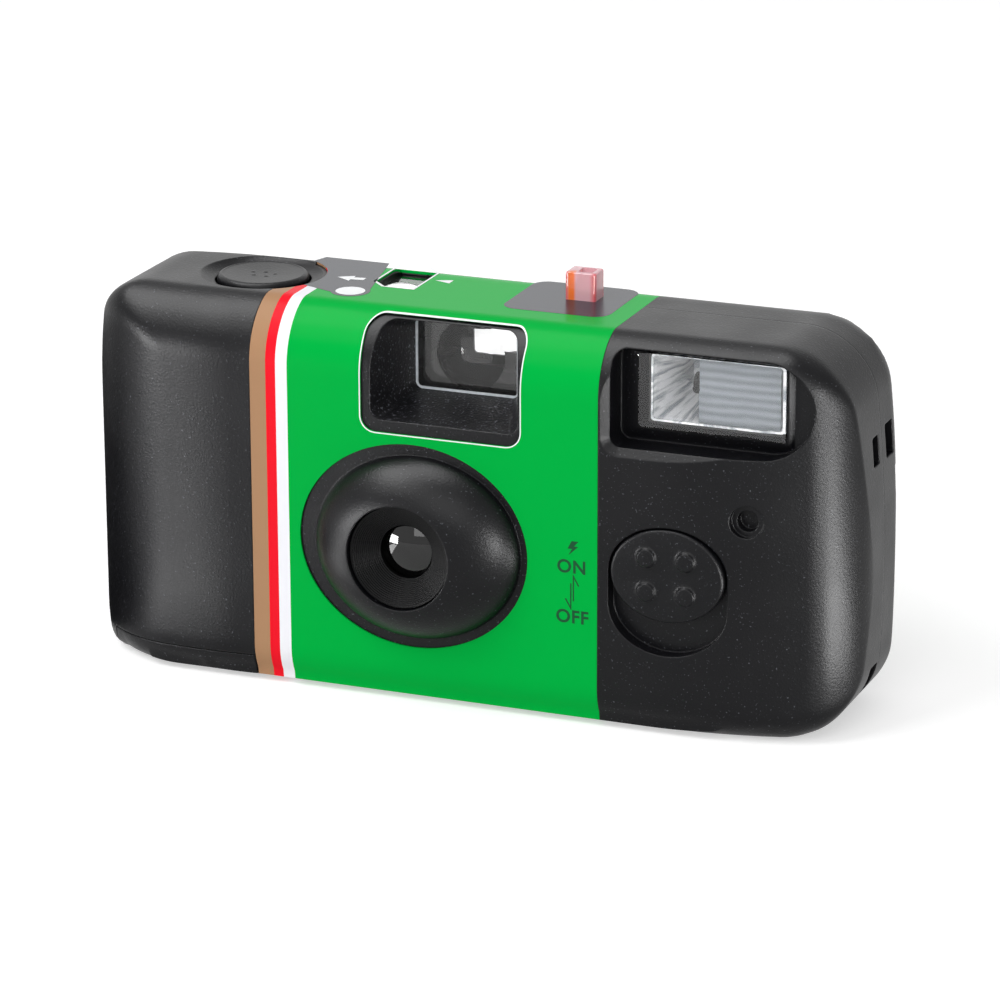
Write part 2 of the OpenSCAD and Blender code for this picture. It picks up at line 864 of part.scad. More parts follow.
module lens_holder() {
    y0 = y_f + 3;
    y1 = blade_y1 - blade_t - 0.5;
    seat_y = y0 - 2.2;
    color([0.1, 0.1, 0.105])
        difference() {
            union() {
                pin_y(lens_x, lens_z, 7.6, y1 - 0.8, y1);
                pin_y(lens_x, lens_z, lens_r + 1.2, seat_y, y1);
                for (p = [[6.2, 3.4], [5, -5], [-1, 6.6]])
                    pin_y(lens_x + p[0], lens_z + p[1], 1, y1 - 0.4, plate_f);
            }
            pin_y(lens_x, lens_z, lens_r + 0.05, seat_y - 1, y0);
            pin_y(lens_x, lens_z, aperture_r, y0 - 1, y1 + 1);
        }
}

module taking_lens() {
    y1 = y_f + 3;
    t = 2.2;
    front_r = 8;
    back_r = 13;
    color([0.8, 0.86, 0.95, 0.4])
        difference() {
            intersection() {
                pin_y(lens_x, lens_z, lens_r, y1 - t - 1, y1);
                translate([lens_x, y1 - t + front_r - 0.6, lens_z])
                    sphere(front_r);
            }
            translate([lens_x, y1 + back_r - 0.7, lens_z])
                sphere(back_r);
        }
}

ring_steps = 5;

module lens_ring() {
    y0 = y_f - 3.4;
    y1 = y_f + 0.7;
    r0 = dome_bore_r - 0.6;
    r1 = lens_r - 0.8;
    dr = (r0 - r1) / ring_steps;
    dy = (y1 - 0.6 - y0) / ring_steps;
    inner = [for (i = [0 : ring_steps - 1], t = [0, 1]) [r0 - dr * (i + t), -(y0 + dy * (i + 0.75))]];
    color([0.05, 0.05, 0.05])
        translate([lens_x, 0, lens_z])
            rotate([90, 0, 0])
                rotate_extrude()
                    polygon(concat([[dome_bore_r - 0.05, -y1], [dome_bore_r - 0.05, -y0], [r0, -y0]], inner,
                        [[r1, -y1]]));
}

module finder_objective() {
    x0 = finder_x - finder_w / 2 - 0.8;
    x1 = finder_x + finder_w / 2 + 0.8;
    z0 = finder_z - finder_h / 2 - 0.7;
    z1 = finder_z + finder_h / 2 + 0.7;
    color([0.85, 0.9, 0.95, 0.35])
        difference() {
            span([x0, y_objective, z0], [x1, y_objective + objective_t, z1]);
            translate([finder_x, y_objective + objective_t + finder_curve_r - 1.2, finder_z])
                sphere(finder_curve_r);
        }
}

module finder_eyepiece() {
    y1 = y_r - wall;
    eye_z0 = max(finder_z - eye_h / 2 - eye_lip, film_z0 + film_w + film_gap);
    color([0.85, 0.9, 0.95, 0.35])
        union() {
            span([finder_x - eye_w / 2 - eye_lip, y1 - eye_t, eye_z0],
                [finder_x + eye_w / 2 + eye_lip, y1, finder_z + eye_h / 2 + eye_lip]);
            intersection() {
                pin_y(finder_x, finder_z, 3.2, y1 - eye_t - 1, y1);
                translate([finder_x, y1 - eye_t - 0.5 + 9, finder_z])
                    sphere(9);
            }
        }
}

module counter_window() {
    cx = (counter_x0 + counter_x1) / 2;
    cy = counter_y0 + 2.9;
    t = 1;
    color([0.88, 0.9, 0.93, 0.4]) {
        span([counter_x0 - counter_lip, counter_y0 - counter_lip, z_in - t],
            [counter_x1 + counter_lip, min(counter_y1 + counter_lip, y_r - top_back_r), z_in]);
        intersection() {
            pin_z(cx, cy, magnifier_r, z_in - t, body_h);
            translate([cx, cy, z_in + 0.9 - 5])
                sphere(5);
        }
    }
}

disc_teeth = 36;

module counter_disc() {
    rim = [for (i = [0 : 2 * disc_teeth - 1])
        let (r = i % 2 == 0 ? gear_r : gear_r - 0.4, a = 180 * i / disc_teeth)
        [r * cos(a), r * sin(a)]];
    color([0.92, 0.92, 0.9])
        translate([disc_x, disc_y, 0])
            difference() {
                union() {
                    translate([0, 0, disc_z0])
                        cylinder(r = disc_r, h = disc_t);
                    translate([0, 0, gear_z0])
                        linear_extrude(height = disc_z0 - gear_z0)
                            polygon(rim);
                    translate([0, 0, deck_z1])
                        cylinder(r = 2.2, h = gear_z0 - deck_z1);
                }
                translate([0, 0, deck_z1 - 1])
                    cylinder(r = 1.2 + pin_gap, h = 10);
            }
}

module flash_slider() {
    z = slider_z;
    guide_front = guide_y - guide_d / 2;
    link_x0 = guide_x - 1.2;
    link_x1 = guide_x + guide_w / 2;
    riser_x0 = slider_x - 6.4;
    riser_w = 3;
    color([0.08, 0.08, 0.085]) {
        along_y(y_f - 0.1, slot_floor - 0.3)
            translate([slider_x, z])
                polygon(oval(knob_a, knob_b, 48));
        for (i = [-1, 1], j = [-1, 1])
            pin_y(slider_x + i * bump_dx, z + j * bump_dz, bump_r, y_f - 0.55, y_f);
        span([slider_x - stem_w / 2, slot_floor - 0.5, z - stem_h / 2],
            [slider_x + stem_w / 2, plate_y + 0.1, z + stem_h / 2]);
        span([riser_x0, plate_y, z - 4], [slider_x + 5, plate_y + plate_t, z + 4]);
        span([riser_x0, plate_y, z], [riser_x0 + riser_w, plate_y + plate_t, link_z + link_h]);
        span([link_x0, plate_y, link_z], [riser_x0 + riser_w, plate_y + plate_t, link_z + link_h]);
        span([link_x0, plate_y, link_z], [link_x1, guide_front, link_z + link_h]);
        span([link_x0, guide_front - post_t, link_z], [link_x1, guide_front, guide_z0 + 2]);
    }
}

guide_skin = 0.6;

module ready_light_guide() {
    x0 = guide_x - guide_w / 2;
    y0 = guide_y - guide_d / 2;
    color([0.95, 0.25, 0.2, 0.7])
        difference() {
            span([x0, y0, guide_z0], [x0 + guide_w, y0 + guide_d, guide_z1]);
            span([x0 + 1.5, y0 + guide_skin, guide_z1 - 2.2],
                [x0 + guide_w - guide_skin, y0 + guide_d - guide_skin, guide_z1 + 1]);
        }
}

module switch_contact() {
    y1 = board_y0 - 0.12;
    color([0.8, 0.66, 0.36]) {
        span([slider_x - 3, plate_y + plate_t, slider_z - 2.6], [slider_x + 3, y1, slider_z - 1.4]);
        span([slider_x - 3, plate_y + plate_t, slider_z + 1.4], [slider_x + 3, y1, slider_z + 2.6]);
        span([slider_x + 1.6, plate_y + plate_t, slider_z - 2], [slider_x + 3, y1, slider_z + 2]);
    }
}

rib_count = 8;

module flash_window() {
    flange_y = flash_floor + flash_wall;
    rib_x0 = window_x - window_w / 2 + window_w / 3;
    pitch = window_h / (rib_count + 1);
    x0 = window_x - window_w / 2;
    z0 = window_z - window_h / 2;
    color([0.9, 0.92, 0.95, 0.45]) {
        hull() {
            along_y(window_front + skirt_rise, window_front + skirt_rise + eps)
                window_outline(0);
            along_y(flash_floor - eps, flash_floor)
                translate([x0 - skirt_left, z0 - skirt_low])
                    square([window_w + skirt_left + skirt_edge, window_h + skirt_low + skirt_edge]);
        }
        along_y(window_front, flange_y + 0.1)
            window_outline(0);
        along_y(flange_y, flange_y + window_flange)
            window_outline(1);
        for (i = [1 : rib_count])
            along_x(rib_x0, window_x + window_w / 2 - 0.8)
                translate([window_front, window_z - window_h / 2 + pitch * i])
                    circle(pitch * 0.36);
    }
}

// The trough's section, in y and z: a parabola of half height h at depth 0.
function trough(h, d, n) = [for (i = [-n : n]) let (t = i / n) [d * (1 - t * t), h * t]];

reflector_y = flash_floor + flash_wall + window_flange;
reflector_x0 = window_x - window_w / 2 - 0.6;
reflector_x1 = window_x + window_w / 2 + 0.6;
reflector_h = window_h / 2 + 0.4;
reflector_t = 0.5;

// What the reflector fills, grown by g.
module reflector_space(g) {
    translate([0, reflector_y, window_z])
        along_x(reflector_x0 - g, reflector_x1 + g)
            polygon(trough(reflector_h + reflector_t + g, reflector_d + reflector_t + g, 8));
}

module flash_reflector() {
    y0 = reflector_y;
    h = reflector_h;
    x0 = reflector_x0;
    x1 = reflector_x1;
    t = reflector_t;
    tube_y = y0 + reflector_d - 3;
    color([0.88, 0.89, 0.9])
        difference() {
            translate([0, y0, window_z])
                union() {
                    along_x(x0, x1)
                        difference() {
                            polygon(trough(h + t, reflector_d + t, 8));
                            polygon(concat([[-1, -h]], trough(h, reflector_d, 8), [[-1, h]]));
                        }
                    for (x = [x0, x1 - t])
                        along_x(x, x + t)
                            polygon(trough(h + t, reflector_d + t, 8));
                }
            translate([0, tube_y, window_z])
                rotate([0, 90, 0])
                    cylinder(r = tube_r + 0.05, h = far, center = true);
        }
}

module flash_tube() {
    tube_y = flash_floor + flash_wall + window_flange + reflector_d - 3;
    half = window_w / 2;
    color([0.9, 0.93, 0.96, 0.4])
        translate([window_x - half - 2, tube_y, window_z])
            rotate([0, 90, 0])
                union() {
                    cylinder(r = tube_r, h = 2 * half + 4);
                    translate([0, 0, -1.2])
                        cylinder(r = 0.5, h = 2 * half + 6.4);
                }
}

module circuit_board() {
    color([0.1, 0.36, 0.2])
        difference() {
            span([board_x0, board_y0, board_z0], [board_x1, board_y1, board_z1]);
            span([board_x0 - 1, board_y0 - 1, board_z1 - 6], [board_x0 + 4, board_y1 + 1, board_z1 + 1]);
            pin_y(tool_x, tool_z, tool_r, board_y0 - 1, board_y1 + 1);
        }
}

module main_capacitor() {
    cx = x_r - capacitor_edge;
    cy = board_y1 + 1.6 + capacitor_r;
    z1 = capacitor_z0 + capacitor_l;
    lead_x0 = board_x1 - 1 - lead_t;
    lead_z0 = z1 - lead_t - 0.2;
    color([0.15, 0.17, 0.3]) {
        pin_z(cx, cy, capacitor_r, capacitor_z0, z1);
        pin_z(cx, cy, capacitor_r - 0.5, z1, z1 + 0.6);
        span([lead_x0, board_y1, lead_z0], [lead_x0 + lead_t, cy, lead_z0 + lead_t]);
        span([lead_x0, cy - lead_t, lead_z0], [cx - 3, cy, lead_z0 + lead_t]);
    }
}

module transformer() {
    x = 33;
    y = 5;
    z = frame_z1;
    color([0.75, 0.68, 0.45]) {
        span([x, y, z], [x + 7.5, y + 6, z + 1.2]);
        span([x, y, z + 5], [x + 7.5, y + 6, z + 6.2]);
        pin_z(x + 3.75, y + 3, 2.8, z, z + 6);
    }
}

module trigger_coil() {
    x = 23.5;
    y = 7.6;
    r = 2.2;
    color([0.62, 0.32, 0.14])
        translate([x, y, frame_z1 + r])
            rotate([0, 90, 0])
                union() {
                    cylinder(r = r - 0.3, h = 6);
                    cylinder(r = r, h = 0.8);
                    translate([0, 0, 5.2])
                        cylinder(r = r, h = 0.8);
                }
}

module ready_lamp() {
    color([0.98, 0.6, 0.2, 0.8])
        pin_z(board_x0 + 2, board_y1 + lamp_r, lamp_r, lamp_z0, lamp_z0 + lamp_l);
}

module battery() {
    color([0.25, 0.25, 0.27])
        translate([battery_x0, battery_y, battery_z])
            rotate([0, 90, 0])
                union() {
                    cylinder(r = battery_r, h = battery_l - 1);
                    cylinder(r = 1.9, h = battery_l);
                }
}

module contact_positive() {
    x = battery_x0 + battery_l;
    color([0.78, 0.78, 0.8]) {
        span([x, battery_y - 3, wall], [x + contact_t, battery_y + 3, battery_z + 4]);
        span([x, board_y1, battery_z + 3], [x + contact_t, battery_y + 1.5, board_z0 + 3]);
    }
}

module contact_negative() {
    color([0.78, 0.78, 0.8])
        span([battery_x0 - contact_t, battery_y - 3, wall], [battery_x0, battery_y + 3, battery_z + 4]);
}

// The light tunnel from the mechanism plate to the film gate, grown by g.
module tunnel(g) {
    hull() {
        along_y(plate_b - eps, plate_b)
            translate([lens_x - tunnel_front_w / 2 - g, lens_z - tunnel_front_h / 2 - g])
                square([tunnel_front_w + 2 * g, tunnel_front_h + 2 * g]);
        along_y(gate_y0, gate_y0 + eps)
            translate([lens_x - gate_w / 2 - g, lens_z - gate_h / 2 - g])
                square([gate_w + 2 * g, gate_h + 2 * g]);
    }
}

module main_frame() {
    rail_z = film_w / 2 + 0.4;
    color([0.11, 0.11, 0.12])
        difference() {
            union() {
                span([gate_x0, gate_y0, frame_z0], [gate_x1, gate_y1, deck_z1]);
                tunnel(tunnel_wall);
                span([lens_x - 9.6, plate_f, battery_z + battery_r + 0.3],
                    [lens_x + 9.6, plate_b, lens_z + 9.6]);
                span([deck_x0, plate_f, lens_z],
                    [finder_x - finder_w / 2 - 5.4, plate_b, gear_z0 - run_gap]);
                span([deck_x0, plate_f, deck_z0], [deck_x2, gate_y1, deck_z1]);
                difference() {
                    pin_z(supply_x, supply_y, supply_r, frame_z0, frame_z1);
                    pin_z(supply_x, supply_y, supply_r - supply_wall, film_z0 - run_gap, frame_z1 - 0.9);
                    span([x_l, gate_y0 - 1.2, 0], [x_r, y_r, frame_z1 + 1]);
                }
                span([gate_x1 - 1, gate_y0 - 6, frame_z0], [gate_x1, gate_y1, frame_z1]);
                pin_z(supply_x, supply_y, 1.6, frame_z0, film_z0 + 3);
                pin_y(blade_px, blade_pz, pin_r, plate_f - 3.2, plate_f + 0.5);
                pin_y(strike_px, strike_pz, pin_r, plate_f - 3.2, plate_f + 0.5);
                pin_y(release_px, release_pz, pin_r, plate_f - 1.6, plate_f + 0.5);
                pin_z(disc_x, disc_y, 1.2, deck_z0, disc_z0 + disc_t + 0.2);
                span([lens_x - 18, gate_y0 - 3, battery_z + battery_r + 1],
                    [lens_x - 17, gate_y0 + 0.5, deck_z0 + 0.5]);
            }
            tunnel(0);
            along_y(plate_f - 1, plate_b + 1)
                translate([lens_x, lens_z])
                    circle(3);
            along_y(gate_y0 - 1, gate_y1 + 1)
                translate([lens_x - gate_w / 2, lens_z - gate_h / 2])
                    square([gate_w, gate_h]);
            pin_z(sprocket_x, sprocket_y, sprocket_pitch_r + 1,
                sprocket_z - 0.7, sprocket_z + sprocket_t + 0.7);
            pin_z(sprocket_x, sprocket_y, 1.2 + pin_gap, deck_z0 - 1, deck_z1 + 1);
            reflector_space(run_gap);
            span([finder_x - eye_w / 2 - 2, gate_y0 - 1, film_z0 + film_w + film_gap],
                [gate_x1 + 1, gate_y1 + 1, deck_z1 + 1]);
            span([deck_x0 - 6, plate_f - 1, deck_z0 - 1], [deck_x0, gate_y1 + 1, deck_z1 + 1]);
        }
}

wheel_teeth = 44;
spool_r = 5.5;
hub_r = 4;
key_w = 2;

module thumbwheel() {
    rim = [for (i = [0 : 3 * wheel_teeth - 1])
        let (r = i % 3 == 2 ? wheel_r - 0.55 : wheel_r, a = 120 * i / wheel_teeth)
        [r * cos(a), r * sin(a)]];
    color([0.1, 0.1, 0.105])
        translate([axis_x, axis_y, 0])
            union() {
                difference() {
                    translate([0, 0, wheel_z0])
                        linear_extrude(height = wheel_t)
                            polygon(rim);
                    translate([0, 0, wheel_z1 - 1])
                        cylinder(r = wheel_r - 2.6, h = 2);
                }
                translate([0, 0, cartridge_z1 + 0.15])
                    cylinder(r = hub_r, h = wheel_z0 - cartridge_z1);
                translate([-hub_r + 1, -key_w / 2, cartridge_z1 - 3])
                    cube([2 * hub_r - 2, key_w, 4]);
            }
}

module cartridge_spool() {
    z0 = cartridge_z0 + 0.8;
    z1 = cartridge_z1 - 0.8;
    color([0.12, 0.12, 0.12])
        translate([axis_x, axis_y, 0])
            difference() {
                union() {
                    translate([0, 0, z0])
                        cylinder(r = spool_r, h = z1 - z0);
                    for (z = [z0 + 1.2, z1 - 2.2])
                        translate([0, 0, z])
                            cylinder(r = cartridge_r - 1, h = 1);
                }
                translate([0, 0, z1 - 4])
                    cylinder(r = hub_r - 0.4, h = 5);
            }
}

lip_w = 5;
cap_t = 0.5;
shell_t = 0.4;
light_trap = 0.25;

module cartridge_shell() {
    lip_x = axis_x + sqrt(pow(cartridge_r, 2) - pow(film_y - axis_y, 2)) - 1.2;
    color([0.2, 0.5, 0.3])
        difference() {
            union() {
                pin_z(axis_x, axis_y, cartridge_r - 0.1, cartridge_z0 + cap_t, cartridge_z1 - cap_t);
                span([lip_x, film_y - 0.6, cartridge_z0 + cap_t],
                    [lip_x + lip_w, film_y + 0.35, cartridge_z1 - cap_t]);
            }
            pin_z(axis_x, axis_y, cartridge_r - 0.1 - shell_t, cartridge_z0, cartridge_z1);
            span([lip_x - 3, film_y - light_trap, film_z0 - 0.3],
                [lip_x + lip_w + 1, film_y + 0.2, film_z0 + film_w + 0.3]);
        }
}

module cartridge_caps() {
    color([0.7, 0.7, 0.72])
        for (z = [cartridge_z0, cartridge_z1 - cap_t])
            difference() {
                pin_z(axis_x, axis_y, cartridge_r, z, z + cap_t);
                pin_z(axis_x, axis_y, hub_r + 0.3, z - 1, z + 1);
            }
}

module film_strip() {
    x0 = axis_x + film_in_shell;
    x1 = supply_x - film_on_roll;
    count = floor((x1 - x0) / perf_pitch);
    color([0.35, 0.2, 0.12])
        difference() {
            span([x0, film_y - film_t / 2, film_z0], [x1, film_y + film_t / 2, film_z0 + film_w]);
            for (i = [1 : count - 1], z = [film_z0 + 1, film_z0 + film_w - 1 - perf_h])
                span([x0 + i * perf_pitch, film_y - 1, z],
                    [x0 + i * perf_pitch + perf_w, film_y + 1, z + perf_h]);
            span([sprocket_x - 3.2, film_y - 1, sprocket_z - 0.3],
                [sprocket_x + 3.2, film_y + 1, sprocket_z + sprocket_t + 0.3]);
        }
}

module supply_spool() {
    color([0.1, 0.1, 0.1])
        translate([supply_x, supply_y, 0])
            difference() {
                translate([0, 0, film_z0])
                    cylinder(r = supply_core_r, h = film_w - 0.6);
                translate([0, 0, film_z0 - 1])
                    cylinder(r = 1.6 + run_gap, h = 6);
            }
}

module film_roll() {
    color([0.32, 0.18, 0.11])
        translate([supply_x, supply_y, film_z0])
            difference() {
                cylinder(r = roll_r - run_gap, h = film_w - 0.4);
                translate([0, 0, -1])
                    cylinder(r = supply_core_r + 0.03, h = film_w + 2);
            }
}

module sprocket_wheel() {
    tip = sprocket_pitch_r + 0.3;
    root = sprocket_pitch_r - 0.6;
    color([0.15, 0.15, 0.16])
        translate([sprocket_x, sprocket_y, 0])
            union() {
                translate([0, 0, sprocket_z])
                    cylinder(r = root, h = sprocket_t);
                for (i = [0 : sprocket_teeth - 1])
                    rotate([0, 0, 360 * i / sprocket_teeth])
                        translate([root - 1, -0.6, sprocket_z])
                            cube([tip - root + 1, 1.2, sprocket_t]);
                translate([0, 0, sprocket_z - 0.5])
                    cylinder(r = 1.2, h = disc_z0 - run_gap - sprocket_z + 0.5);
                translate([0, -finger_w / 2, gear_z0])
                    cube([finger_r, finger_w, disc_z0 - run_gap - gear_z0]);
            }
}

front_cover();
rear_cover();
cartridge_lid();
label_band();
shutter_button();
flash_slider();
ready_light_guide();
switch_contact();
flash_window();
flash_reflector();
flash_tube();
finder_objective();
finder_eyepiece();
counter_window();
counter_disc();
lens_ring();
taking_lens();
lens_holder();
shutter_blade();
blade_spring();
strike_lever();
lever_spring();
release_lever();
main_frame();
thumbwheel();
cartridge_spool();
cartridge_shell();
cartridge_caps();
film_strip();
film_roll();
supply_spool();
sprocket_wheel();
circuit_board();
main_capacitor();
transformer();
trigger_coil();
ready_lamp();
battery();
contact_positive();
contact_negative();
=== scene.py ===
"""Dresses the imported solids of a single-use film camera and sets the studio round it.

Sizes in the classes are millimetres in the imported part's own frame: +Z up, the lens looks along -Y, +X is the
flash side. Meshes are written in metres.
"""

import logging
import math
from dataclasses import dataclass, field
from enum import Enum

import bmesh
import bpy
import numpy as np
from mathutils import Matrix, Vector


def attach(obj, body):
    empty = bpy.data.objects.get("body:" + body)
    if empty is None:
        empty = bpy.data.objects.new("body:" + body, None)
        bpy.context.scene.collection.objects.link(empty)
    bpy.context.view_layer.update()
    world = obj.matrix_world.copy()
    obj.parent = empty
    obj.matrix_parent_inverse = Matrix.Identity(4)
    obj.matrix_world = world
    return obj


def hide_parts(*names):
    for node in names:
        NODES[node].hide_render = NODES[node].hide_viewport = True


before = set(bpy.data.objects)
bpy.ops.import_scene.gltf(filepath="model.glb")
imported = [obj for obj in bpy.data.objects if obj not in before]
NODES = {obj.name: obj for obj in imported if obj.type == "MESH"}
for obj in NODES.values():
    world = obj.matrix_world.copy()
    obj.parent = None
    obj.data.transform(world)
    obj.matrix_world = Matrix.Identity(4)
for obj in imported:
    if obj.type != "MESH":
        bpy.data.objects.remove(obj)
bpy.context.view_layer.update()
MM = 0.001
# Height of the relief of a moulded or printed surface.
BUMP_DEPTH = 0.1 * MM
# Refractive index of the clear mouldings.
CLEAR_IOR = 1.49
# Edges flatter than this many degrees are shaded smooth, on a piece as made and on one that was carved.
MADE_SMOOTH = 32.0
CARVED_SMOOTH = 34.0
WHITE = (1.0, 1.0, 1.0, 1.0)
LOG = logging.getLogger("camera")
Array = np.ndarray
Solid = bpy.types.Object
Material = bpy.types.Material
Pair = tuple[float, float]
Triple = tuple[float, float, float]
Four = tuple[float, float, float, float]


class Cut(Enum):
    """How one solid is worked into another."""

    JOIN = "UNION"
    TAKE_AWAY = "DIFFERENCE"
    KEEP_INSIDE = "INTERSECT"


class Body(Enum):
    """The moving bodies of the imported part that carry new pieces."""

    CASE = "case"
    BUTTON = "button"
    SWITCH = "switch"
    FLAP = "base_flap"


# Colour and nodes.


def linear(hex_colour: str) -> Four:
    """Turns an sRGB hex colour into linear light.

    Args:
        hex_colour: Six hex digits after a hash sign.

    Returns:
        Red, green and blue in linear light, and full alpha.
    """
    parts = [int(hex_colour[i : i + 2], 16) / 255 for i in (1, 3, 5)]
    light = [c / 12.92 if c <= 0.04045 else ((c + 0.055) / 1.055) ** 2.4 for c in parts]
    return (light[0], light[1], light[2], 1.0)


def add(
    tree: bpy.types.NodeTree,
    kind: str,
    links: dict | None = None,
    stops: tuple[tuple[float, str], ...] = (),
    **settings,
) -> bpy.types.Node:
    """Adds a node with its settings, socket values and links.

    Args:
        tree: The node tree that gets it.
        kind: The node's type name.
        links: Socket name or index to a value, or to an output socket to link.
        stops: Places and sRGB hex colours along a colour ramp, in rising order.
        **settings: Properties of the node.

    Returns:
        The new node.
    """
    made = tree.nodes.new(kind)
    for key, value in settings.items():
        setattr(made, key, value)
    for i, (at, colour) in enumerate(stops):
        ramp = made.color_ramp.elements
        stop = ramp[i] if i < 2 else ramp.new(at)
        stop.position, stop.color = at, linear(colour)
    for key, value in (links or {}).items():
        if isinstance(value, bpy.types.NodeSocket):
            tree.links.new(value, made.inputs[key])
        else:
            made.inputs[key].default_value = value
    return made


def per_mm(size: float) -> float:
    """Pattern scale, in periods a metre, of a feature of that many millimetres."""
    return 1.0 / (size * MM)


# Finishes.


@dataclass(frozen=True)
class Finish:
    """What every finish has: a name, a colour and a gloss."""

    name: str
    colour: str
    roughness: float = 0.4
    specular: float = 0.5

    def material(self) -> Material:
        """The finished material; each kind of finish makes its own."""
        raise NotImplementedError

    def start(self) -> tuple[Material, bpy.types.NodeTree, bpy.types.NodeSocket]:
        """Makes the material, with nothing in it yet but the coordinates.

        Returns:
            The material, its node tree and the output of Object coordinates.
        """
        made = bpy.data.materials.new(self.name)
        made.use_nodes = True
        tree = made.node_tree
        tree.nodes.clear()
        return made, tree, add(tree, "ShaderNodeTexCoord").outputs["Object"]

    def close(self, made: Material, patterns: dict, constants: dict | None = None) -> Material:
        """Adds the shader: constants on its own sockets, and what varies over the surface linked to it.

        Args:
            made: The material that start gave.
            patterns: Shader socket to the output that feeds it.
            constants: Shader socket to its value, beside colour and gloss.

        Returns:
            The finished material.
        """
        tree = made.node_tree
        base = {
            "Base Color": linear(self.colour),
            "Roughness": self.roughness,
            "Specular IOR Level": self.specular,
        }
        shader = add(tree, "ShaderNodeBsdfPrincipled", base | (constants or {}))
        for socket, output in patterns.items():
            tree.links.new(output, shader.inputs[socket])
        add(tree, "ShaderNodeOutputMaterial", {"Surface": shader.outputs["BSDF"]})
        return made


@dataclass(frozen=True)
class MouldedPlastic(Finish):
    """Injection-moulded styrene from a spark-eroded tool: a fine even pebble, satin, with small glints painted
    into its colour.

    The pebble is drawn at about twice its real size, so that it shows at the picture's scale.
    """

    # Painted highlights: the pale colour of the glints on the pebble's highest spots.
    painted_glint: str = "#5a5c62"
    grain_mm: float = 0.3
    grain: float = 0.3
    soft_mm: float = 0.3
    painted_glint_from: float = 0.66
    painted_glint_span: float = 0.16
    cloud_mm: float = 9.0
    cloud_span: Pair = (0.3, 0.7)
    gloss_drift: Pair = (-0.03, 0.04)

    def material(self) -> Material:
        """The plastic with pebble bump, pale painted glints, clouded gloss and softened edges.

        Returns:
            The material, ready to be given to a mesh.
        """
        made, tree, where = self.start()
        fine = {"Vector": where, "Scale": per_mm(self.grain_mm), "Detail": 2.0}
        pebble = add(tree, "ShaderNodeTexNoise", fine).outputs["Fac"]
        broad = {"Vector": where, "Scale": per_mm(self.cloud_mm), "Detail": 3.0}
        cloud = add(tree, "ShaderNodeTexNoise", broad).outputs["Fac"]
        # Painted glints: where the pebble is highest the colour turns pale.
        stops = ((self.painted_glint_from, self.colour), (self.painted_glint_from + self.painted_glint_span, self.painted_glint))
        tone = add(tree, "ShaderNodeValToRGB", {"Fac": pebble}, stops)
        low, high = (self.roughness + d for d in self.gloss_drift)
        start, end = self.cloud_span
        span = {"Value": cloud, "From Min": start, "From Max": end, "To Min": low, "To Max": high}
        gloss = add(tree, "ShaderNodeMapRange", span)
        edge = add(tree, "ShaderNodeBevel", {"Radius": self.soft_mm * MM}, samples=6).outputs["Normal"]
        relief = {"Height": pebble, "Strength": self.grain, "Distance": BUMP_DEPTH, "Normal": edge}
        bump = add(tree, "ShaderNodeBump", relief)
        patterns = {
            "Base Color": tone.outputs["Color"],
            "Roughness": gloss.outputs["Result"],
            "Normal": bump.outputs["Normal"],
        }
        return self.close(made, patterns)


@dataclass(frozen=True)
class PrintedCard(Finish):
    """Coated card printed in solid inks under a clear varnish: even colour, smooth gloss, faint fibre."""

    inks: tuple[tuple[float, str], ...] = ()
    reach_mm: float = 30.0
    fibre_mm: float = 1.6
    fibre: float = 0.04

    def material(self) -> Material:
        """The card: inks change at given places along X, under a satin varnish with a faint fibre bump.

        Returns:
            The material, ready to be given to a mesh.
        """
        made, tree, where = self.start()
        patterns = {}
        if self.inks:
            across = add(tree, "ShaderNodeSeparateXYZ", {"Vector": where})
            end = self.reach_mm * MM
            span = {"Value": across.outputs["X"], "From Min": -end, "From Max": end}
            along = add(tree, "ShaderNodeMapRange", span)
            stops = tuple(((x * MM + end) / (2 * end), ink) for x, ink in self.inks)
            bands = add(tree, "ShaderNodeValToRGB", {"Fac": along.outputs["Result"]}, stops)
            bands.color_ramp.interpolation = "CONSTANT"
            patterns["Base Color"] = bands.outputs["Color"]
        grain = {"Vector": where, "Scale": per_mm(self.fibre_mm), "Detail": 3.0}
        fibre = add(tree, "ShaderNodeTexNoise", grain)
        relief = {"Height": fibre.outputs["Fac"], "Strength": self.fibre, "Distance": BUMP_DEPTH}
        patterns["Normal"] = add(tree, "ShaderNodeBump", relief).outputs["Normal"]
        return self.close(made, patterns)


@dataclass(frozen=True)
class ClearPlastic(Finish):
    """Moulded clear styrene: water-clear, sharp reflections, a trace of flow waviness."""

    wave_mm: float = 3.0
    wave: float = 0.03

    def material(self) -> Material:
        """The clear plastic as a transmitting shader with a faint flow bump.

        Returns:
            The material, ready to be given to a mesh.
        """
        made, tree, where = self.start()
        broad = {"Vector": where, "Scale": per_mm(self.wave_mm), "Detail": 1.0}
        flow = add(tree, "ShaderNodeTexNoise", broad)
        relief = {"Height": flow.outputs["Fac"], "Strength": self.wave, "Distance": BUMP_DEPTH}
        bump = add(tree, "ShaderNodeBump", relief)
        constants = {"Transmission Weight": 1.0, "IOR": CLEAR_IOR}
        return self.close(made, {"Normal": bump.outputs["Normal"]}, constants)


@dataclass(frozen=True)
class PlainMetal(Finish):
    """Drawn or rolled metal: bright, with a gloss that changes over fine marks."""

    mark_mm: float = 0.3
    gloss_drift: Pair = (-0.06, 0.08)
    smoothest: float = 0.02

    def material(self) -> Material:
        """The metal with its gloss broken by fine marks.

        Returns:
            The material, ready to be given to a mesh.
        """
        made, tree, where = self.start()
        fine = {"Vector": where, "Scale": per_mm(self.mark_mm), "Detail": 2.0}
        marks = add(tree, "ShaderNodeTexNoise", fine)
        low, high = (max(self.roughness + d, self.smoothest) for d in self.gloss_drift)
        span = {"Value": marks.outputs["Fac"], "To Min": low, "To Max": high}
        gloss = add(tree, "ShaderNodeMapRange", span)
        return self.close(made, {"Roughness": gloss.outputs["Result"]}, {"Metallic": 1.0})


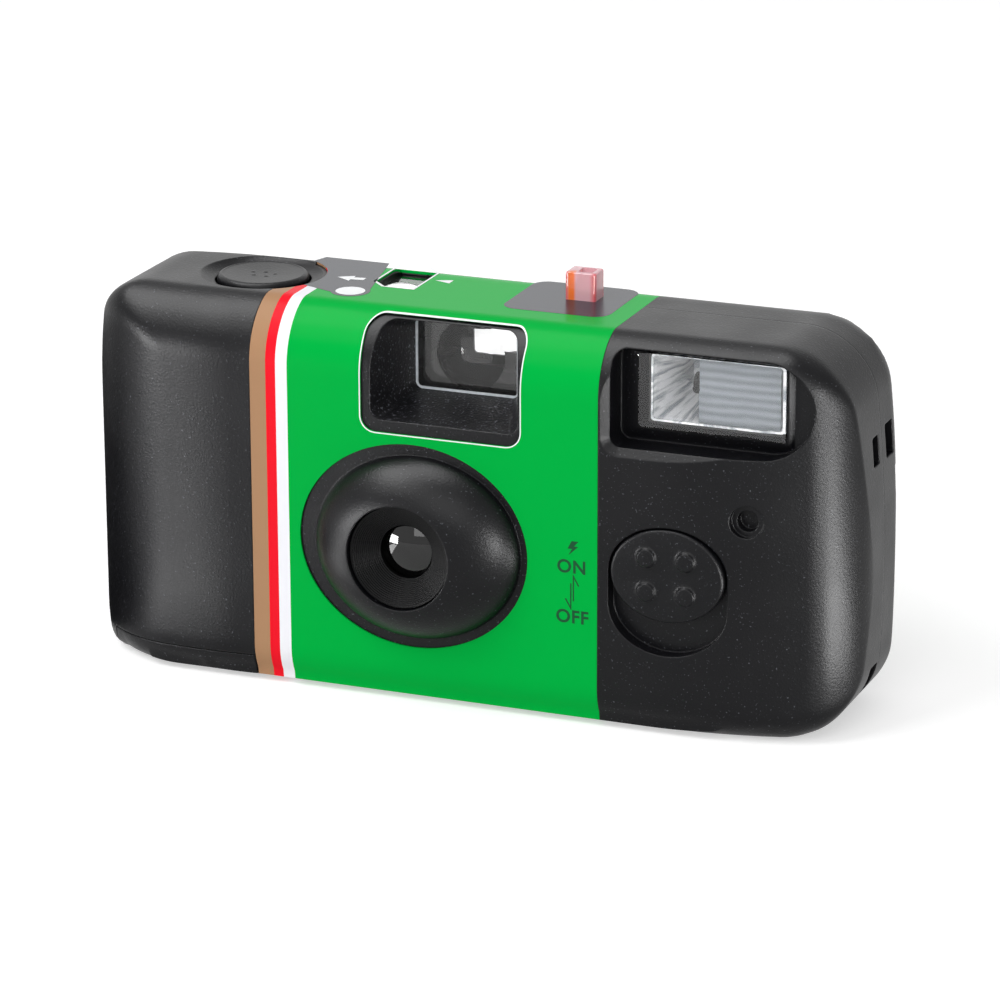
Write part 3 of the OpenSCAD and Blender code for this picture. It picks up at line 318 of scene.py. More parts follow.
@dataclass(frozen=True)
class PlainPlastic(Finish):
    """Unseen or small moulded and lacquered pieces: even colour, slight mottling, a smooth moulded bump."""

    mottle: str = "#808080"
    grain_mm: float = 0.8
    blend: Pair = (0.3, 0.8)
    relief: float = 0.06

    def material(self) -> Material:
        """The plastic with a mottled colour and a light bump.

        Returns:
            The material, ready to be given to a mesh.
        """
        made, tree, where = self.start()
        broad = {"Vector": where, "Scale": per_mm(self.grain_mm), "Detail": 3.0}
        spots = add(tree, "ShaderNodeTexNoise", broad).outputs["Fac"]
        stops = ((self.blend[0], self.colour), (self.blend[1], self.mottle))
        tone = add(tree, "ShaderNodeValToRGB", {"Fac": spots}, stops)
        relief = {"Height": spots, "Strength": self.relief, "Distance": BUMP_DEPTH}
        bump = add(tree, "ShaderNodeBump", relief)
        return self.close(made, {"Base Color": tone.outputs["Color"], "Normal": bump.outputs["Normal"]})


@dataclass(frozen=True)
class TintedAcrylic(Finish):
    """Light-carrying acrylic rod: pale pink faces, and painted light: red gathered at the edges, an orange
    streak from the lamp and a faint glow.
    """

    # Painted light: the red that gathers at the rod's upright edges.
    edge: str = "#ee3f48"
    # Painted lamp light: the orange streak, in colour and in glow.
    painted_lamp_glow: str = "#ff7d2e"
    middle: Pair = (12.35, 6.9)
    half: Pair = (2.075, 1.7)
    edge_mm: float = 0.8
    streak: float = 11.15
    streak_fade: Pair = (0.65, 0.3)
    streak_y: Pair = (6.6, 5.8)
    # Painted glow: the rod gives off a little light, though it is no lamp.
    glow: float = 0.05
    clear: float = 0.4

    def material(self) -> Material:
        """The acrylic: painted red light grows towards the four upright edges; a painted orange band of lamp
        light runs along X on the front half.

        Returns:
            The material, ready to be given to a mesh.
        """
        made, tree, where = self.start()
        at = add(tree, "ShaderNodeSeparateXYZ", {"Vector": where})
        short = []
        for axis, centre, half in zip("XY", self.middle, self.half):
            off = add(tree, "ShaderNodeMath", {0: at.outputs[axis], 1: centre * MM}, operation="SUBTRACT")
            far = add(tree, "ShaderNodeMath", {0: off.outputs["Value"]}, operation="ABSOLUTE")
            left = add(tree, "ShaderNodeMath", {0: far.outputs["Value"], 1: half * MM}, operation="SUBTRACT")
            short.append(left.outputs["Value"])
        near = add(tree, "ShaderNodeMath", dict(enumerate(short)), operation="MINIMUM")
        span = {"Value": near.outputs["Value"], "From Min": -self.edge_mm * MM, "From Max": 0.0}
        red = add(tree, "ShaderNodeMapRange", span)
        stops = ((0.0, self.colour), (1.0, self.edge))
        tint = add(tree, "ShaderNodeValToRGB", {"Fac": red.outputs["Result"]}, stops)
        aside = add(tree, "ShaderNodeMath", {0: at.outputs["X"], 1: self.streak * MM}, operation="SUBTRACT")
        width = add(tree, "ShaderNodeMath", {0: aside.outputs["Value"]}, operation="ABSOLUTE")
        shares = []
        fades = (width.outputs["Value"], self.streak_fade), (at.outputs["Y"], self.streak_y)
        for value, (none, full) in fades:
            span = {"Value": value, "From Min": none * MM, "From Max": full * MM}
            shares.append(add(tree, "ShaderNodeMapRange", span).outputs["Result"])
        share = add(tree, "ShaderNodeMath", dict(enumerate(shares)), operation="MULTIPLY")
        # The painted streak of lamp light is mixed over the tint, and the result also glows as painted light.
        inks = {0: share.outputs["Value"], 6: tint.outputs["Color"], 7: linear(self.painted_lamp_glow)}
        mixed = add(tree, "ShaderNodeMix", inks, data_type="RGBA").outputs[2]
        constants = {"Emission Strength": self.glow, "Transmission Weight": self.clear, "IOR": CLEAR_IOR}
        return self.close(made, {"Base Color": mixed, "Emission Color": mixed}, constants)


@dataclass(frozen=True)
class RibbedDiffuser(Finish):
    """Satin clear styrene with moulded ribs: milky grey, with the ribs' light and shade painted as soft pale
    and dark lines across its height.
    """

    # Painted shade of the ribs.
    dark: str = "#7b8289"
    low: float = 41.0
    pitch: float = 1.1
    drift_mm: float = 4.0
    drift: float = 2.5
    clear: float = 0.35

    def material(self) -> Material:
        """The diffuser: a wave of the height, bent a little by noise, paints the ribs' light and shade between
        two greys.

        Returns:
            The material, ready to be given to a mesh.
        """
        made, tree, where = self.start()
        at = add(tree, "ShaderNodeSeparateXYZ", {"Vector": where})
        broad = {"Vector": where, "Scale": per_mm(self.drift_mm), "Detail": 2.0}
        drift = add(tree, "ShaderNodeTexNoise", broad)
        turn = 2 * math.pi
        rise = {0: at.outputs["Z"], 1: turn / (self.pitch * MM), 2: -self.low / self.pitch * turn}
        straight = add(tree, "ShaderNodeMath", rise, operation="MULTIPLY_ADD")
        bend = {0: drift.outputs["Fac"], 1: self.drift, 2: straight.outputs["Value"]}
        bent = add(tree, "ShaderNodeMath", bend, operation="MULTIPLY_ADD")
        wave = add(tree, "ShaderNodeMath", {0: bent.outputs["Value"]}, operation="SINE")
        span = {"Value": wave.outputs["Value"], "From Min": -1.0, "From Max": 1.0}
        share = add(tree, "ShaderNodeMapRange", span)
        # Painted light and shade: the wave follows the ribs' pitch.
        stops = ((0.0, self.dark), (1.0, self.colour))
        tone = add(tree, "ShaderNodeValToRGB", {"Fac": share.outputs["Result"]}, stops)
        constants = {"Transmission Weight": self.clear, "IOR": CLEAR_IOR}
        return self.close(made, {"Base Color": tone.outputs["Color"]}, constants)


@dataclass(frozen=True)
class CrinkledFoil(Finish):
    """Vacuum-metallised foil pressed into a trough: bright, with creases that fan out, their pale and dark
    reflections painted into its colour.
    """

    # Painted shade of the creases; the pale colour between them is painted reflection.
    dark: str = "#9aa0a6"
    hub: Pair = (32.6, 45.4)
    stretch: Triple = (5.0, 120.0, 120.0)
    scale: float = 1.6
    painted_crease_tones: Pair = (0.38, 0.56)
    relief: float = 0.7
    relief_mm: float = 0.5
    metallic: float = 0.35

    def material(self) -> Material:
        """The foil: noise along the angle about the tube's end gives fanned creases of painted light and dark,
        and their bump.

        Returns:
            The material, ready to be given to a mesh.
        """
        made, tree, where = self.start()
        at = add(tree, "ShaderNodeSeparateXYZ", {"Vector": where})
        off = [
            add(tree, "ShaderNodeMath", {0: at.outputs[axis], 1: hub * MM}, operation="SUBTRACT")
            for axis, hub in zip("XZ", self.hub)
        ]
        dx, dz = (node.outputs["Value"] for node in off)
        turn = add(tree, "ShaderNodeMath", {0: dz, 1: dx}, operation="ARCTAN2").outputs["Value"]
        fan = add(tree, "ShaderNodeCombineXYZ", {"X": turn, "Y": dx, "Z": at.outputs["Y"]})
        drawn = add(tree, "ShaderNodeMapping", {"Vector": fan.outputs["Vector"], "Scale": self.stretch})
        noise = {"Vector": drawn.outputs["Vector"], "Scale": self.scale, "Detail": 4.0}
        crease = add(tree, "ShaderNodeTexNoise", noise).outputs["Fac"]
        # Painted reflection and shade: the crease noise shades the colour from dark to pale.
        stops = ((self.painted_crease_tones[0], self.dark), (self.painted_crease_tones[1], self.colour))
        tone = add(tree, "ShaderNodeValToRGB", {"Fac": crease}, stops)
        relief = {"Height": crease, "Strength": self.relief, "Distance": self.relief_mm * MM}
        bump = add(tree, "ShaderNodeBump", relief)
        patterns = {"Base Color": tone.outputs["Color"], "Normal": bump.outputs["Normal"]}
        return self.close(made, patterns, {"Metallic": self.metallic})


# Where a black finish gives a second colour, it is that of its painted glints.
BLACK_CASE = MouldedPlastic("black_moulded_styrene", "#060609", 0.36, 0.16)
# The finder pocket's black: a stronger pebble, with more and paler painted glints.
POCKET_BLACK = MouldedPlastic("black_spark_styrene", "#0a0a0d", 0.34, 0.3, "#6b6d74", 0.34, 0.6, 0.2, 0.6)
GROOVE_BLACK = MouldedPlastic("black_grooved_styrene", "#060607", 0.4, 0.1, "#101012", 0.5, 0.1, 0.1)
BLADE_BLACK = MouldedPlastic("black_lacquered_steel", "#0b0b0c", 0.45, 0.2, "#141416", 0.5, 0.05, 0.1)
BLACK_SMOOTH = MouldedPlastic("black_smooth_styrene", "#0a0a0c", 0.3, 0.2, "#17181b", 0.5, 0.05, 0.2)
BLACK_MATT = MouldedPlastic("black_matt_styrene", "#09090a", 0.6, 0.15, "#161617", 0.5, 0.25, 0.1)
LABEL_INKS = (
    (-29.0, "#ab8464"),
    (-25.05, "#ee1b2b"),
    (-23.5, "#f0f0f6"),
    (-21.95, "#00ab40"),
)
LABEL_CARD = PrintedCard("varnished_printed_card", "#00ab40", 0.24, 0.025, LABEL_INKS)
DARK_INK = PrintedCard("dark_grey_ink", "#2a2d36", 0.26, 0.2)
GREEN_BLACK_INK = PrintedCard("green_black_ink", "#0d4a2a", 0.26, 0.16)
WHITE_INK = PrintedCard("white_ink", "#f0f2f4", 0.3, 0.16)
CLEAR = ClearPlastic("clear_moulded_styrene", "#ffffff", 0.02)
# No light comes back from the dark room behind the lens, so its clear body is tinted almost black.
LENS_CLEAR = ClearPlastic("polished_lens_acrylic", "#08090b", 0.03)
DIFFUSER = RibbedDiffuser("ribbed_satin_styrene", "#a2a9b0", 0.3, 0.3)
# Painted highlight: a pale frame for the bright edge of the finder's clear front lens.
EDGE_HIGHLIGHT_FRAME = PlainPlastic("painted_edge_highlight", "#b4bac0", 0.3, 0.5, "#ced3d8")
# The foil's pale and dark creases are painted reflection and shade.
FOIL = CrinkledFoil("crinkled_reflector_foil", "#f7f8fa", 0.12)
STEEL = PlainMetal("drawn_spring_steel", "#b9babd", 0.32)
BRASS = PlainMetal("spring_brass", "#c9a356", 0.3)
COPPER = PlainMetal("enamelled_copper_wire", "#9c5426", 0.35)
WHITE_PART = PlainPlastic("white_acetal", "#e7e5de", 0.5, 0.5, "#f2f1ec")
FILM_BASE = PlainPlastic("film_base", "#2e1712", 0.22, 0.5, "#3a1f18")
BOARD = PlainPlastic("green_lacquered_board", "#174c2a", 0.4, 0.5, "#1f5c34")
DARK_SLEEVE = PlainPlastic("dark_shrink_sleeve", "#1b2236", 0.35, 0.5, "#232c45")
CELL_CASE = PlainPlastic("lacquered_steel_cell", "#39393d", 0.3, 0.5, "#444449")
CAN_GREEN = PlainPlastic("printed_tinplate", "#2c7d45", 0.28, 0.5, "#358a4d")
LAMP_GLASS = ClearPlastic("amber_lamp_glass", "#ffb066", 0.05)
GUIDE_RED = TintedAcrylic("red_light_guide_acrylic", "#e3b2ba", 0.1)
BLACK_CLOTH = PlainPlastic("black_cloth", "#020202", 1.0, 0.0, "#040404")


class Finishes:
    """Makes each finish's material once and hands it out."""

    def __init__(self) -> None:
        """Starts with nothing made."""
        self.made: dict[str, Material] = {}

    def of(self, finish: Finish) -> Material:
        """The material of a finish.

        Args:
            finish: The finish asked for.

        Returns:
            Its material, made at the first asking.
        """
        if finish.name not in self.made:
            self.made[finish.name] = finish.material()
        return self.made[finish.name]


FINISHES = Finishes()


# Outlines, surfaces and solids.


def oval(cx: float, cz: float, a: float, b: float, n: int = 96) -> Array:
    """Points of an ellipse: centre plus a cos t, b sin t.

    Args:
        cx: First coordinate of the centre.
        cz: Second coordinate of the centre.
        a: Half axis along the first coordinate.
        b: Half axis along the second.
        n: Number of points.

    Returns:
        An n by 2 array.
    """
    t = np.linspace(0, 2 * np.pi, n, endpoint=False)
    return np.stack([cx + a * np.cos(t), cz + b * np.sin(t)], axis=1)


def round_box(box: Four, r: float, grow: float = 0.0, n: int = 12) -> Array:
    """A rectangle with quarter-circle corners: corner centre plus r cos t, r sin t over each quarter.

    Args:
        box: Lowest and highest first coordinate, then lowest and highest second.
        r: Corner radius.
        grow: How far outside the box the outline lies.
        n: Points to a corner.

    Returns:
        A 4n by 2 array, anticlockwise from the corner at the high end of both coordinates.
    """
    x0, x1, y0, y1 = (c + s * grow + -s * r for c, s in zip(box, (-1, 1, -1, 1)))
    t = np.linspace(0, np.pi / 2, n)
    quarters = [
        np.stack([x + r * np.cos(t + k * np.pi / 2), y + r * np.sin(t + k * np.pi / 2)], axis=1)
        for k, (x, y) in enumerate(((x1, y1), (x0, y1), (x0, y0), (x1, y0)))
    ]
    return np.concatenate(quarters)


def lift(outline: Array, axis: str, at: float) -> Array:
    """Places a flat outline square to an axis.

    Args:
        outline: Points in the two other coordinates, in their own order.
        axis: "x", "y" or "z".
        at: Place along the axis.

    Returns:
        An n by 3 array.
    """
    return np.insert(outline, "xyz".index(axis), at, axis=1)
def stacked(axis: str, *levels: tuple[Array, float]) -> Array:
    """Rings for a loft: each outline placed at its own height along an axis."""
    return np.stack([lift(outline, axis, at) for outline, at in levels])


def link(name: str, data: bpy.types.ID) -> Solid:
    """A new object of the given data, linked to the scene.

    Args:
        name: The object's name.
        data: Its mesh, curve, camera or light.

    Returns:
        The new object.
    """
    made = bpy.data.objects.new(name, data)
    bpy.context.scene.collection.objects.link(made)
    return made


def make(name: str, verts: Array, faces: list, smooth: float = MADE_SMOOTH) -> Solid:
    """Puts points in millimetres into a new mesh object, closed and facing outwards.

    Args:
        name: The object's name.
        verts: An n by 3 array.
        faces: Corner numbers of each face.
        smooth: Edges flatter than this many degrees are shaded smooth.

    Returns:
        The new object, linked to the scene.
    """
    mesh = bpy.data.meshes.new(name)
    mesh.from_pydata((np.asarray(verts) * MM).tolist(), [], faces)
    made = link(name, mesh)
    tidy(made, smooth, outwards=True)
    return made


def tidy(piece: Solid, smooth: float = CARVED_SMOOTH, outwards: bool = False) -> None:
    """Merges doubles, turns faces outwards if asked to, and marks sharp edges.

    Args:
        piece: The object to tidy.
        smooth: Edges flatter than this many degrees are shaded smooth.
        outwards: Whether to work out the facing again, as on a new mesh.
    """
    work = bmesh.new()
    work.from_mesh(piece.data)
    bmesh.ops.remove_doubles(work, verts=work.verts, dist=1e-7)
    if outwards:
        bmesh.ops.recalc_face_normals(work, faces=work.faces)
    work.to_mesh(piece.data)
    work.free()
    piece.data.shade_smooth()
    piece.data.set_sharp_from_angle(angle=math.radians(smooth))


def loft(name: str, rings: Array, fan: bool = False, closed: bool = False) -> Solid:
    """A solid whose skin joins a stack of rings in quads, shut at both ends.

    Args:
        name: The object's name.
        rings: An array of rings by points by 3.
        fan: Shut the ends by triangles round a middle point instead of one face.
        closed: Join the last ring to the first instead of shutting the ends.

    Returns:
        The new object.
    """
    m, n = rings.shape[:2]
    rows = m if closed else m - 1
    i, j = np.meshgrid(np.arange(rows), np.arange(n), indexing="ij")
    k, l = (i + 1) % m, (j + 1) % n
    faces = np.stack([i * n + j, i * n + l, k * n + l, k * n + j], axis=-1).reshape(-1, 4).tolist()
    verts = rings.reshape(-1, 3)
    if fan and not closed:
        verts = np.concatenate([verts, rings[0].mean(0)[None], rings[-1].mean(0)[None]])
        a = np.arange(n)
        b = (a + 1) % n
        faces += np.stack([b, a, np.full(n, m * n)], axis=1).tolist()
        faces += np.stack([a + (m - 1) * n, b + (m - 1) * n, np.full(n, m * n + 1)], axis=1).tolist()
    elif not closed:
        faces += [list(range(n))[::-1], list(range((m - 1) * n, m * n))]
    return make(name, verts, faces)


def prism(name: str, outline: Array, axis: str, low: float, high: float) -> Solid:
    """A flat outline carried straight along an axis.

    Args:
        name: The object's name.
        outline: Points in the two other coordinates.
        axis: "x", "y" or "z".
        low: Start along the axis.
        high: End along the axis.

    Returns:
        The new object.
    """
    return loft(name, stacked(axis, (outline, low), (outline, high)))


def peg(name: str, centre: Pair, r: float, axis: str, low: float, high: float, n: int = 96) -> Solid:
    """A round peg: a circle of n points and radius r carried along an axis from low to high."""
    return prism(name, oval(*centre, r, r, n), axis, low, high)


def block(name: str, low: Triple, high: Triple) -> Solid:
    """A box between two corners, as a prism along Z."""
    plan = np.array([[low[0], low[1]], [high[0], low[1]], [high[0], high[1]], [low[0], high[1]]])
    return prism(name, plan, "z", low[2], high[2])


def spin(
    name: str,
    profile: Array,
    centre: Triple,
    axis: str,
    n: int = 96,
    squeeze: Pair = (1.0, 1.0),
    closed: bool = False,
) -> Solid:
    """A profile of radius and height carried round an axis: centre plus r cos t, r sin t at each height.

    Args:
        name: The object's name.
        profile: k by 2 array of radius and place along the axis.
        centre: A point on the axis; its coordinate along the axis is added to the heights.
        axis: "x", "y" or "z".
        n: Points round.
        squeeze: Factors on the two radii, for an oval.
        closed: The profile comes back to its start, as in a ring.

    Returns:
        The new object.
    """
    t = np.linspace(0, 2 * np.pi, n, endpoint=False)
    k = "xyz".index(axis)
    across = [c for i, c in enumerate(centre) if i != k]
    u = across[0] + squeeze[0] * profile[:, :1] * np.cos(t)
    v = across[1] + squeeze[1] * profile[:, :1] * np.sin(t)
    h = np.broadcast_to(centre[k] + profile[:, 1:], u.shape)
    parts = [u, v]
    parts.insert(k, h)
    return loft(name, np.stack(parts, axis=-1), fan=True, closed=closed)


def carve(piece: Solid, how: Cut, *tools: Solid) -> Solid:
    """Works closed solids into a piece and removes them.

    Args:
        piece: The solid that is changed.
        how: Join, take away or keep what is inside.
        *tools: The solids worked in, one after another.

    Returns:
        The same piece.
    """
    for tool in tools:
        step = piece.modifiers.new("carve", "BOOLEAN")
        step.solver = "MANIFOLD"
        step.operation = how.value
        step.object = tool
    bpy.context.view_layer.update()
    shaped = bpy.data.meshes.new_from_object(piece.evaluated_get(bpy.context.evaluated_depsgraph_get()))
    piece.modifiers.clear()
    old, piece.data = piece.data, shaped
    bpy.data.meshes.remove(old)
    for tool in tools:
        bpy.data.objects.remove(tool)
    return piece


def place(piece: Solid, finish: Finish, slot: str, body: Body, *nodes: str) -> Solid:
    """Gives a new piece its finish, body and the CAD nodes it stands for.

    Args:
        piece: The new piece.
        finish: Its finish.
        slot: The record's material slot; not used.
        body: The CAD body that it moves with.
        *nodes: CAD nodes that it replaces.

    Returns:
        The same piece.
    """
    piece.data.name = piece.name
    piece.data.materials.clear()
    piece.data.materials.append(FINISHES.of(finish))
    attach(piece, body.value)
    if nodes:
        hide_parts(*nodes)
    LOG.info("%s: %d faces, on %s", piece.name, len(piece.data.polygons), body.value)
    return piece


# The case.


def round_meet(a: Array, b: Array, r: Array | float) -> Array:
    """Distance to the meeting of two faces, with a round of radius r along their edge.

    min(max(a + r, b + r), 0) + |max(a + r, 0), max(b + r, 0)| - r.

    Args:
        a: Distances to the first face, negative inside.
        b: Distances to the second face.
        r: Radius of the round.

    Returns:
        The joint distances.
    """
    u, v = a + r, b + r
    return np.minimum(np.maximum(u, v), 0) + np.hypot(np.maximum(u, 0), np.maximum(v, 0)) - r


@dataclass
class CaseForm:
    """The case's outer form: a distance field whose level sets are the skins of cover, label and hollow."""

    left: float = -54.0
    right: float = 54.0
    front: float = -11.5
    back: float = 15.0
    top: float = 52.0
    wall: float = 1.2
    seam: float = 5.4
    left_bow: Pair = (110.0, 22.0)
    right_bow: Pair = (200.0, 20.5)
    end_rounds: Four = (5.0, 4.0, 8.5, 9.0)
    side_rounds: Four = (8.4, 1.6, 2.5, 2.0)
    plan_rounds: Four = (14.7, 11.8, 6.0, 5.0)
    softness: float = 5.0
    fillet: float = 1.2
    bend_x: float = 28.0
    bend_r: float = 61.0
    crease: float = 0.36
    axis: Pair = (-38.0, 3.0)
    bulge_r: float = 14.0
    bulge_z: Pair = (1.25, 44.2)
    bulge_rounds: Pair = (0.8, 0.5)
    bulge_x1: float = -27.4
    dent_r: float = 6.0
    dent_depth: float = 0.7
    dent_back: float = 9.0
    crown: Four = (-34.0, 0.42, 6.9, 12.0)
    spine: Pair = (-30.0, 38.0)
    heart: Pair = (1.7, 25.0)
    probe: float = 0.01
    least: float = 1e-6
    halvings: int = 34
    reach: float = 90.0
    front_reach: float = 30.0
    pole: float = 0.01
    kept: dict[tuple[float, int, int], Array] = field(default_factory=dict)

    def front_view(self, x: Array, z: Array) -> Array:
        """Distance to the front view: flat top and base, bowed ends, a round at each corner.

        Args:
            x: Sideways places.
            z: Heights.

        Returns:
            Distances, negative inside.
        """
        over, under = z - self.top, -z
        (lr, lz), (rr, rz) = self.left_bow, self.right_bow
        west = np.hypot(x - (self.left + lr), z - lz) - lr
        east = np.hypot(x - (self.right - rr), z - rz) - rr
        tl, bl, tr, br = self.end_rounds
        return np.maximum(
            np.maximum(round_meet(over, west, tl), round_meet(under, west, bl)),
            np.maximum(round_meet(over, east, tr), round_meet(under, east, br)),
        )

    def side_view(self, y: Array, z: Array) -> Array:
        """Distance to the side view: a broad shoulder with a crease at the top, and small rounds elsewhere.

        Args:
            y: Depths.
            z: Heights.

        Returns:
            Distances, negative inside.
        """
        over, under = z - self.top, -z
        ahead, behind = self.front - y, y - self.back
        shoulder, foot, heel, ridge = self.side_rounds
        return np.maximum(
            np.maximum(round_meet(ahead, over - self.crease, shoulder), round_meet(ahead, under, foot)),
            np.maximum(round_meet(behind, under, heel), round_meet(behind, over, ridge)),
        )

    def plan(self, x: Array, y: Array) -> Array:
        """Distance to the plan: flat ends and back, a front that bends away at the right, rounded corners.

        Args:
            x: Sideways places.
            y: Depths.

        Returns:
            Distances, negative inside.
        """
        bent = np.hypot(x - self.bend_x, np.minimum(y - self.front - self.bend_r, 0)) - self.bend_r
        ahead = np.where(x > self.bend_x, bent, self.front - y)
        behind, west, east = y - self.back, self.left - x, x - self.right
        fl, bl, fr, br = self.plan_rounds
        return np.maximum(
            np.maximum(round_meet(ahead, west, fl), round_meet(behind, west, bl)),
            np.maximum(round_meet(ahead, east, fr), round_meet(behind, east, br)),
        )

    def swell(self, x: Array, y: Array) -> Array:
        """How far the front stands out over the film chamber: a parabola to the label, a cosine to the left.

        Args:
            x: Sideways places.
            y: Depths; the swell fades out from the front to the joint.

        Returns:
            The swell along -Y.
        """
        apex, rise, right, left = self.crown
        t = x - apex
        lump = np.where(t > 0, 1 - (t / right) ** 2, 0.5 + 0.5 * np.cos(np.pi * np.maximum(t / left, -1)))
        return rise * np.maximum(lump, 0) * np.clip((self.seam - y) / (self.seam - self.front), 0, 1)

    def field(self, p: Array) -> Array:
        """Distance to the case: where the three views meet, with their creases softened.

        Two views a and b are joined as max(a, b) + k/4 (1 - |a - b|/k)^2, with k = softness (1 - cos of the
        angle between them), so that a face that both share stays where it is. The film chamber's bulge is
        joined with a small hollow, and the finger dent is taken out.

        Args:
            p: Points, n by 3.

        Returns:
            Distances, negative inside.
        """
        x, y, z = p[..., 0], p[..., 1], p[..., 2]
        y = y + self.swell(x, y)
        h = self.probe
        a, b, c = self.front_view(x, z), self.side_view(y, z), self.plan(x, y)
        ax, az = (self.front_view(x + h, z) - a) / h, (self.front_view(x, z + h) - a) / h
        by, bz = (self.side_view(y + h, z) - b) / h, (self.side_view(y, z + h) - b) / h
        cx, cy = (self.plan(x + h, y) - c) / h, (self.plan(x, y + h) - c) / h
        k = np.maximum(self.softness * (1 - az * bz), self.least)
        d = np.maximum(a, b) + k / 4 * np.maximum(1 - np.abs(a - b) / k, 0) ** 2
        share = np.clip(0.5 + (a - b) / (2 * k), 0, 1)
        k = np.maximum(self.softness * (1 - share * ax * cx - (1 - share) * by * cy), self.least)
        d = np.maximum(d, c) + k / 4 * np.maximum(1 - np.abs(d - c) / k, 0) ** 2
        barrel = np.hypot(x - self.axis[0], y - self.axis[1]) - self.bulge_r
        (low, high), (low_r, high_r) = self.bulge_z, self.bulge_rounds
        barrel = np.maximum(round_meet(barrel, z - high, high_r), round_meet(barrel, low - z, low_r))
        barrel = np.maximum(barrel, x - self.bulge_x1)
        near = np.maximum(1 - np.abs(d - barrel) / self.fillet, 0)
        d = np.where(y > self.axis[1], np.minimum(d, barrel) - near * near * self.fillet / 4, d)
        dent = self.dent_r - np.hypot(x - (self.left - self.dent_r + self.dent_depth), z - self.left_bow[1])
        return np.maximum(d, np.minimum(dent, self.dent_back - y))

    def cast(self, start: Array, way: Array, reach: float, inset: float) -> Array:
        """Where rays from inside meet a level set, by halving the way to it over and over.

        Args:
            start: Ray starts, inside, n by 3.
            way: Unit directions.
            reach: A distance that is outside for every ray.
            inset: Depth of the level set under the skin.

        Returns:
            The points met.
        """
        near = np.zeros(start.shape[:-1])
        far = np.full(start.shape[:-1], reach)
        for _ in range(self.halvings):
            mid = (near + far) / 2
            inside = self.field(start + way * mid[..., None]) + inset < 0
            near = np.where(inside, mid, near)
            far = np.where(inside, far, mid)
        return start + way * near[..., None]

    def skin(self, name: str, inset: float, rows: int = 60, columns: int = 256) -> Solid:
        """The level set as a closed solid.

        Rays leave a spine along X: square to it between its ends, and over a half ball at each end. The two
        parameters are the place along spine and half balls, and the angle round X.

        Args:
            name: The object's name.
            inset: Depth under the outer skin.
            rows: Rows on each half ball.
            columns: Rays round.

        Returns:
            The closed solid.
        """
        key = (inset, rows, columns)
        if key not in self.kept:
            tilt = np.linspace(np.pi / 2 - self.pole, 0, rows)
            middle = np.linspace(*self.spine, rows * 2 // 3)[1:-1]
            foot = np.concatenate([np.full(rows, self.spine[0]), middle, np.full(rows, self.spine[1])])
            lean = np.concatenate([-tilt, np.zeros(len(middle)), tilt[::-1]])
            turn = np.linspace(0, 2 * np.pi, columns, endpoint=False)
            ones = np.ones((len(lean), columns))
            along, out = np.sin(lean)[:, None], np.cos(lean)[:, None]
            way = np.stack([along * ones, out * np.cos(turn), out * np.sin(turn)], axis=-1)
            start = np.stack([foot[:, None] * ones, self.heart[0] * ones, self.heart[1] * ones], axis=-1)
            self.kept[key] = self.cast(start, way, self.reach, inset)
        return loft(name, self.kept[key], fan=True)

    def hollow(self) -> Solid:
        """The space inside the wall, from fewer rays than the outer skin."""
        return self.skin("hollow", self.wall, 40, 128)

    def front_at(self, x: Array, z: Array) -> Array:
        """Depth of the front skin at places of the front view.

        Args:
            x: Sideways places.
            z: Heights.

        Returns:
            The y of each place.
        """
        start = np.stack([x, np.full_like(x, self.heart[0]), z], axis=-1)
        way = np.broadcast_to(np.array([0.0, -1.0, 0.0]), start.shape)
        return self.cast(start, way, self.front_reach, 0.0)[..., 1]


